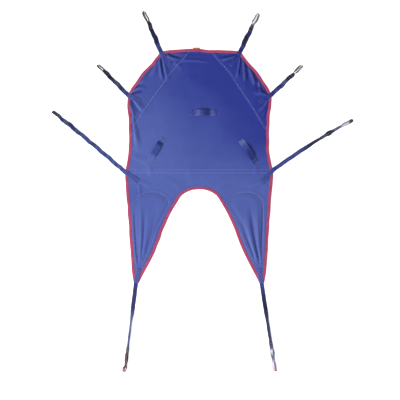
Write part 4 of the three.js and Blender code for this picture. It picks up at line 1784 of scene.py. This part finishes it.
    def loops(self) -> None:
        """The loop webbing: along the back layer to the tip, round it, and back on the face."""
        half = self.cut.pockets[-1][2] * 0.8
        s = np.linspace(self.lap, self.length - (0 if self.cut.flat else half), 100)
        back, face = self.layer(s, False), self.layer(s[::-1], True)
        spread = face[0][0] - back[0][-1]
        reach = np.linalg.norm(spread) / 2
        way = np.append(self.along, 0.0)
        turn = np.linspace(0.0, math.pi, 9)[1:-1, None]
        hub = (face[0][0] + back[0][-1]) / 2
        bend = hub - spread / 2 * np.cos(turn) + way * reach * np.sin(turn)
        upright = np.cross(way, -spread / (2 * reach))
        out = -spread / (2 * reach) * np.cos(turn) + way * np.sin(turn)
        upright = np.repeat(upright[None] * np.sign(upright @ back[1][-1]), len(turn), axis=0)
        lean = 0.0 if self.cut.flat else np.radians(self.cut.flares)
        share = turn[:, 0] / math.pi
        leant = np.zeros(len(turn)) if self.cut.flat else lean[0] * (1 - share) + lean[1] * share
        bent = self.leaned(upright, out, leant)
        centre = np.concatenate([back[0], bend, face[0]])
        across = np.concatenate([back[1], bent[0], face[1]])
        up = np.concatenate([back[2], bent[1], face[2]])
        tip = toned(np.full(len(turn), self.length), self.cut.face_tones)
        tint = np.concatenate([toned(s, self.cut.back_tones), tip, toned(s[::-1], self.cut.face_tones)])
        strip = webbing(centre, across, up, STRAP_WIDTH, WEBBING_THICK, run_of(centre), tint)
        fitted(strip, f"{self.name}_loop_webbing", Finish.STRAP, self.child,
               replaced=(f"{self.name}_loop_back", f"{self.name}_loop_face"))

    def patch(self) -> None:
        """The cloth patch over the strap's sewn end, with a boxed cross of stitches.

        It rises over the webbing between its two sides and at its inner end, and is level
        across except where the cloth under it is higher.
        """
        tail = np.array(self.cut.tail, float)
        inward = (tail - self.root) / np.linalg.norm(tail - self.root)
        corners = np.stack([tail + inward * 5, self.root, self.root + self.along * (self.cut.hinge - 4)])
        path = resampled(corners, self.PATCH_ROWS - 1)
        even = np.ones(13) / 13
        way = np.gradient(path, axis=0).T
        way = unit(np.stack([np.convolve(np.pad(line, 6, "edge"), even, "valid") for line in way], axis=1))
        sideways = np.stack([-way[:, 1], way[:, 0]], axis=1)
        a = np.linspace(-1.0, 1.0, self.PATCH_COLUMNS)
        along = np.linspace(0.0, 1.0, self.PATCH_ROWS)
        fuller = self.cut.tail_half - PATCH_HALF
        wide = PATCH_HALF + fuller * smooth((0.62 - along) / 0.3)
        plan = path[:, None] + sideways[:, None] * (a * wide[:, None])[..., None]
        ground = LIE.surface(plan[..., 0], plan[..., 1])
        over = 0.55 + 1.9 * smooth((1 - np.abs(a))[None, :] / 0.21) * smooth(along[:, None] / 0.06)
        middle = self.PATCH_COLUMNS // 2
        level = ground * 0.35 + ground[:, middle:middle + 1] * 0.65
        face = raised(plan, np.maximum(level, ground) + over)
        shape = shell(face, raised(plan, ground - 0.2), plan, np.full(over.shape, 0.3 + 0.05 * fuller))
        fitted(shape, f"{self.name}_anchor_patch", Finish.CLOTH, self.cut.parent,
               replaced=(f"{self.name}_strap_tail",))
        self.patch_thread(face)

    def patch_thread(self, face: Array) -> None:
        """The patch's thread: a row along each side, a boxed cross and bars at the edge.

        Args:
            face: The patch's upper points, shaped (rows, columns, 3).
        """
        rows = [on_face(face, np.linspace(0.02, 0.97, 40), np.full(40, a)) for a in (0.06, 0.94)]
        box = ((0.05, 0.2), (0.05, 0.8), (0.33, 0.8), (0.33, 0.2), (0.05, 0.2), (0.33, 0.8),
               (0.05, 0.8), (0.33, 0.2))
        for (a, b), (c, d) in zip(box[:-1], box[1:]):
            rows.append(on_face(face, np.linspace(a, c, 8), np.linspace(b, d, 8)))
        for u in (0.80, 0.835, 0.87):
            rows.append(on_face(face, np.full(14, u), np.linspace(0.15, 0.85, 14)))
        fitted(Shape.joined(rows), f"{self.name}_anchor_stitching", Finish.ANCHOR_THREAD,
               self.cut.parent)

    def thread(self) -> None:
        """Bars of stitches across the loops: two at the lap and one between two pockets."""
        pockets = self.cut.pockets
        gaps = [(a[1] + b[0]) / 2 for a, b in zip(pockets[:-1], pockets[1:])]
        a = np.linspace(-10.5, 10.5, 12)
        rows = []
        for place in (self.lap + 6, self.lap + 24, *gaps):
            for shift in (-1.1, 1.1):
                for face in (False, True):
                    centre, across, up = self.layer(np.full(len(a), place + shift), face)
                    points = centre + across * a[:, None] + up * (WEBBING_THICK / 2 + 0.1)
                    rows.append(stitched(points, 2.2, 0.4, up[1:]))
        fitted(Shape.joined(rows), f"{self.name}_loop_stitching", Finish.THREAD, self.child)


def on_face(face: Array, u: Array, v: Array) -> Shape:
    """A row of stitches over a grid surface.

    Args:
        face: The surface's points, shaped (rows, columns, 3).
        u: The row's places as shares of the way along the rows.
        v: The same across the columns.

    Returns:
        The stitches, without those shorter than 0.1 mm.
    """
    last = np.array(face.shape[:2]) - 1
    i, j = (np.clip(np.round(share * most).astype(int), 0, most) for share, most in zip((u, v), last))
    points = face[i, j] + np.array([0.0, 0.0, 0.2])
    way = np.diff(points, axis=0)
    size = np.linalg.norm(way, axis=1)
    keep = size > 0.1
    way = unit(way[keep])
    middles = ((points[1:] + points[:-1]) / 2)[keep]
    return stitches(middles, way, upward(way), float(size[keep].mean()) * 0.78, 0.4)


@dataclass
class CarersHandles:
    """The wide webbing handles, sewn flat at both ends and arched in between.

    Attributes:
        width: The webbing's width.
        thickness: Its thickness.
        foot: The length that is sewn down at each end.
        ramp: The length over which it rises.
        rise: How far its arch stands off the cloth.
        places: Each handle's two ends, and its colours at distances from the first, banded lighter and darker
            as painted light and shade along its arch.
    """

    width: float = 36.0
    thickness: float = 2.0
    foot: float = 26.0
    ramp: float = 34.0
    rise: float = 9.1
    # The handles' tones are painted light and shade: lighter and darker bands along each arch, as its slopes
    # face to or from the light.
    places: tuple[tuple[str, Plan, Plan, Tones], ...] = (
        ("centre_handle", (-50, 384), (105, 384), (
            (0, COBALT), (12, INK), (26, COBALT), (46, MID_BLUE), (66, COBALT), (84, NAVY), (106, INK),
            (130, MID_BLUE), (143, COBALT), (155, INK))),
        ("left_handle", (-310, 78), (-223, 226), (
            (0, PALE_BLUE), (20, PALE_BLUE), (50, COBALT), (115, COBALT), (138, INK), (158, MID_BLUE),
            (172, MID_BLUE))),
        ("right_handle", (353, 71), (260, 214), (
            (0, INK), (40, INK), (80, INK), (120, COBALT), (150, PALE_BLUE), (170, MID_BLUE))),
    )

    def build(self) -> None:
        """Makes the three handles and their boxed crosses of stitches."""
        for name, start, end, tones in self.places:
            self.handle(name, np.array(start, float), np.array(end, float), tones)

    def handle(self, name: str, start: Array, end: Array, tones: Tones) -> None:
        """One handle: a strip whose height eases up from its feet to the middle.

        Args:
            name: The handle's name.
            start: The plan place of its first end.
            end: The plan place of its other end.
            tones: Its colours at distances from the first end, banded as painted light and shade.
        """
        length = float(np.linalg.norm(end - start))
        way = (end - start) / length
        side = np.array([-way[1], way[0]])
        s = np.linspace(0.0, length, 80)
        plan = start + way * s[:, None]
        base = np.interp(s, [0, length], LIE.surface(*plan[[0, -1]].T))
        foot = np.maximum.reduce([LIE.surface(*(plan + side * a).T) for a in (-15, 0, 15)])
        lifted = smooth((np.minimum(s, length - s) - self.foot) / self.ramp)
        z = np.maximum(foot * (1 - lifted) + base * lifted, foot) + 1.2 + self.rise * lifted
        up = unit(raised(-way[None] * np.gradient(z, s)[:, None], np.ones(len(s))))
        across = np.tile(np.append(side, 0.0), (len(s), 1))
        strip = webbing(raised(plan, z), across, up, self.width, self.thickness, s, toned(s, tones))
        fitted(strip, f"{name}_webbing", Finish.WIDE, "back", replaced=(name,))
        rows = []
        for run, off in self.feet(length):
            place = start + way * run[:, None] + side * off[:, None]
            points = raised(place, np.interp(run, s, z) + self.thickness / 2 + 0.15)
            rows.append(stitched(points, 2.4, 0.45, np.tile([0.0, 0.0, 1.0], (len(points) - 1, 1))))
        fitted(Shape.joined(rows), f"{name}_stitching", Finish.THREAD, "back")

    def feet(self, length: float) -> list[tuple[Array, Array]]:
        """The boxed crosses of stitches on a handle's two feet.

        Args:
            length: The handle's length.

        Returns:
            Each straight row's distances along the handle and off its middle.
        """
        a, b, c = 2.5, self.foot - 3, self.width / 2 - 3
        box = ((a, -c), (b, -c), (b, c), (a, c), (a, -c), (b, c), (a, c), (b, -c))
        rows = []
        for (s0, a0), (s1, a1) in zip(box[:-1], box[1:]):
            t = np.linspace(0.0, 1.0, max(4, round(math.hypot(s1 - s0, a1 - a0) / 3)))
            rows.append((s0 + (s1 - s0) * t, a0 + (a1 - a0) * t))
        return rows + [(length - run, off) for run, off in rows]


@dataclass
class SmallParts:
    """The webbing under the hip seam and the plain tab at the head edge.

    Attributes:
        strip_width: The hip webbing's width.
        strip_thick: Its thickness.
        tab_width: The tab's width.
        tab_thick: Its tape's thickness.
        tab_levels: The heights of the tab's lower layer, its fold's middle and its upper layer.
    """

    strip_width: float = 25.4
    strip_thick: float = 1.6
    tab_width: float = 43.0
    tab_thick: float = 0.6
    tab_levels: Place = (0.75, 1.55, 2.3)

    def build(self) -> None:
        """Makes both."""
        self.hip_strip()
        self.tab()

    def hip_strip(self) -> None:
        """The webbing from side to side, which waves a little under the cloth."""
        low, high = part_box("hip_webbing")
        half = (high.x - low.x) / 2 / MM
        s = np.linspace(-half, half, 200)
        level, one = 1.05 + 0.2 * np.sin(s * 0.05), np.ones((len(s), 1))
        centre = np.stack([s, np.full(len(s), Datum.WEBBING_Y), level], axis=1)
        tint = toned(s, ((-half, NAVY), (half, NAVY)))
        strip = webbing(centre, one * [0, 1, 0], one * [0, 0, 1], self.strip_width, self.strip_thick, s, tint)
        fitted(strip, "hip_seam_webbing", Finish.STRAP, "seat", replaced=("hip_webbing",))

    def tab(self) -> None:
        """The tab: a tape that runs out of the binding, folds and comes back over itself."""
        low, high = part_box("size_tab")
        x = ((low.x + high.x) / 2 - DATUM.x) / MM
        root, out = ((end.y - DATUM.y) / MM for end in (low, high))
        under, middle, over = self.tab_levels
        turn = np.linspace(-math.pi / 2, math.pi / 2, 9)
        run = np.linspace(root, out - 1, 16)
        y = np.concatenate([run, out - 1 + np.cos(turn) * 0.9, run[::-1]])
        z = np.concatenate([np.full(16, under), middle + np.sin(turn) * 0.8, np.full(16, over)])
        centre = np.stack([np.full(len(y), x), y, z], axis=1)
        across = np.tile([1.0, 0.0, 0.0], (len(y), 1))
        up = np.cross(across, unit(np.gradient(centre, axis=0)))
        plain = np.ones((len(y), 3))
        tab = webbing(centre, across, up, self.tab_width, self.tab_thick, run_of(centre), plain)
        fitted(tab, "head_tab", Finish.TAB, "head", replaced=("size_tab",))


# ---- Foam pads ----

@dataclass
class LegPads:
    """The foam pads under the leg cloth, swollen between their stitched outlines.

    Attributes:
        pressure: The pressure that swells a pad's cover.
        steps: How many steps it swells for.
        cap: The furthest that a point of the cover may move, in metres.
        clearance: The room left to the ground and to the cloth above, in millimetres.
    """

    pressure: float = 4.0
    steps: int = 20
    cap: float = 0.004
    clearance: float = 0.3

    def build(self) -> None:
        """Makes both pads."""
        for side, name in SIDES:
            made = self.slab(side, name)
            self.swell(made)
            smoother = made.modifiers.new("rounded", "SUBSURF")
            smoother.levels = smoother.render_levels = 1
            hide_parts(f"{name}_leg_pad")
            rides(made, "seat", f"{name}_leg", leg_bend(side))

    def slab(self, side: int, name: str) -> bpy.types.Object:
        """A thin slab inside the outline, between the ground and the leg cloth.

        Args:
            side: 1 for right and -1 for left.
            name: The side's name.

        Returns:
            The piece.
        """
        y = np.linspace(PAD.centre[1] + PAD.radii[1] - 3, PAD.end + 3, 72)[:, None]
        inner, outer = PAD.sides(y)
        u = np.linspace(0.0, 1.0, 34)[None, :]
        x = side * (inner + 3 + (outer - inner - 6) * u)
        y = np.broadcast_to(y, x.shape)
        full = smooth(PAD.depth(x, y) / 26)
        high = np.minimum(self.ceiling(x, y), 2.0 + 2.6 * full)
        plan = np.stack([x, y], axis=-1)
        shape = shell(raised(plan, high), raised(plan, 1.1 - 0.7 * full), plan, np.zeros(x.shape))
        return shape.piece(f"{name}_leg_foam", Finish.CLOTH.material())

    def ceiling(self, x: Array, y: Array) -> Array:
        """The height that the pad's cover stays under: the cloth's underside less the room."""
        return LIE.height(x, y) - CLOTH_THICK / 2 - self.clearance

    def swell(self, piece: bpy.types.Object) -> None:
        """Blows the cover up with pressure as cloth, then holds it inside its room.

        Each point moves by its simulated shift, cut to the cap, and its height is then kept
        between the ground and the cloth above it.

        Args:
            piece: The slab, whose mesh takes the swollen shape.
        """
        start = np.zeros(len(piece.data.vertices) * 3, np.float32)
        piece.data.vertices.foreach_get("co", start)
        cover = piece.modifiers.new("cover", "CLOTH")
        cover.settings.use_pressure = True
        cover.settings.uniform_pressure_force = self.pressure
        cover.settings.effector_weights.gravity = 0.0
        for step in range(1, self.steps + 1):
            bpy.context.scene.frame_set(step)
        swollen = piece.evaluated_get(bpy.context.evaluated_depsgraph_get()).data
        end = np.zeros_like(start)
        swollen.vertices.foreach_get("co", end)
        piece.modifiers.remove(cover)
        bpy.context.scene.frame_set(1)
        shift = (end - start).reshape(-1, 3)
        size = np.linalg.norm(shift, axis=1, keepdims=True)
        points = start.reshape(-1, 3) + shift * np.minimum(1.0, self.cap / np.maximum(size, 1e-9))
        x, y = (points[:, 0] - DATUM.x) / MM, (points[:, 1] - DATUM.y) / MM
        points[:, 2] = np.clip(points[:, 2], self.clearance * MM, self.ceiling(x, y) * MM)
        piece.data.vertices.foreach_set("co", points.astype(np.float32).ravel())
        piece.data.update()
        LOG.info("%s: swelled by up to %.1f mm", piece.name, float(size.max()) / MM)


# ---- Studio ----

@dataclass
class Studio:
    """The pale floor, the soft lights and the camera straight above the sling.

    Attributes:
        eye: The plan place under the camera.
        height: The camera's height in metres.
        lens: Its focal length in millimetres.
        ambient: The strength of the light from all round.
    """

    eye: Plan = (6.2, -158.1)
    height: float = 5.86
    lens: float = 85.0
    ambient: float = 0.42

    def build(self) -> None:
        """Makes the floor, the lights and the camera."""
        self.floor()
        self.light("key", (-6.5, -4.5, 5.5), 4.0, 1250.0, (1.0, 0.98, 0.95))
        self.light("fill", (2.4, 2.2, 3.2), 2.6, 20.0, (0.95, 0.97, 1.0))
        world = bpy.data.worlds.new("studio")
        world.use_nodes = True
        background = world.node_tree.nodes["Background"].inputs
        background[0].default_value = (1.0, 1.0, 1.0, 1.0)
        background[1].default_value = self.ambient
        bpy.context.scene.world = world
        bpy.context.scene.view_settings.view_transform = "Standard"
        camera = linked("camera", bpy.data.cameras.new("camera"))
        camera.data.lens = self.lens
        camera.data.clip_end = 50.0
        x, y, _ = DATUM.point(*self.eye)
        camera.location = (x, y, self.height)
        bpy.context.scene.camera = camera

    def floor(self) -> None:
        """A wide flat sheet just under the sling."""
        mesh = bpy.data.meshes.new("floor")
        reach, under = 14.0, -0.0003
        corners = [(reach * x, reach * y, under) for x, y in ((-1, -1), (1, -1), (1, 1), (-1, 1))]
        mesh.from_pydata(corners, [], [(0, 1, 2, 3)])
        mesh.materials.append(Finish.FLOOR.material())
        linked("floor", mesh)

    def light(self, name: str, place: Place, size: float, power: float, colour: Colour) -> None:
        """A square area light that faces the sling's middle.

        Args:
            name: The light's name.
            place: Where it stands, in metres.
            size: Its width in metres.
            power: Its power in watts.
            colour: Its colour.
        """
        lamp = linked(name, bpy.data.lights.new(name, "AREA"))
        lamp.data.size = size
        lamp.data.energy = power
        lamp.data.color = colour
        lamp.location = place
        lamp.rotation_mode = "QUATERNION"
        lamp.rotation_quaternion = (-lamp.location).to_track_quat("-Z", "Y")


def main() -> None:
    """Builds the studio and the sling."""
    logging.basicConfig(level=logging.INFO, format="%(name)s: %(message)s")
    Studio().build()
    ClothBody().build()
    EdgeBinding().build()
    SeamStitching().build()
    CarersHandles().build()
    for cut in STRAPS:
        Strap(cut).build()
    SmallParts().build()
    LegPads().build()


if __name__ == "__main__":
    main()
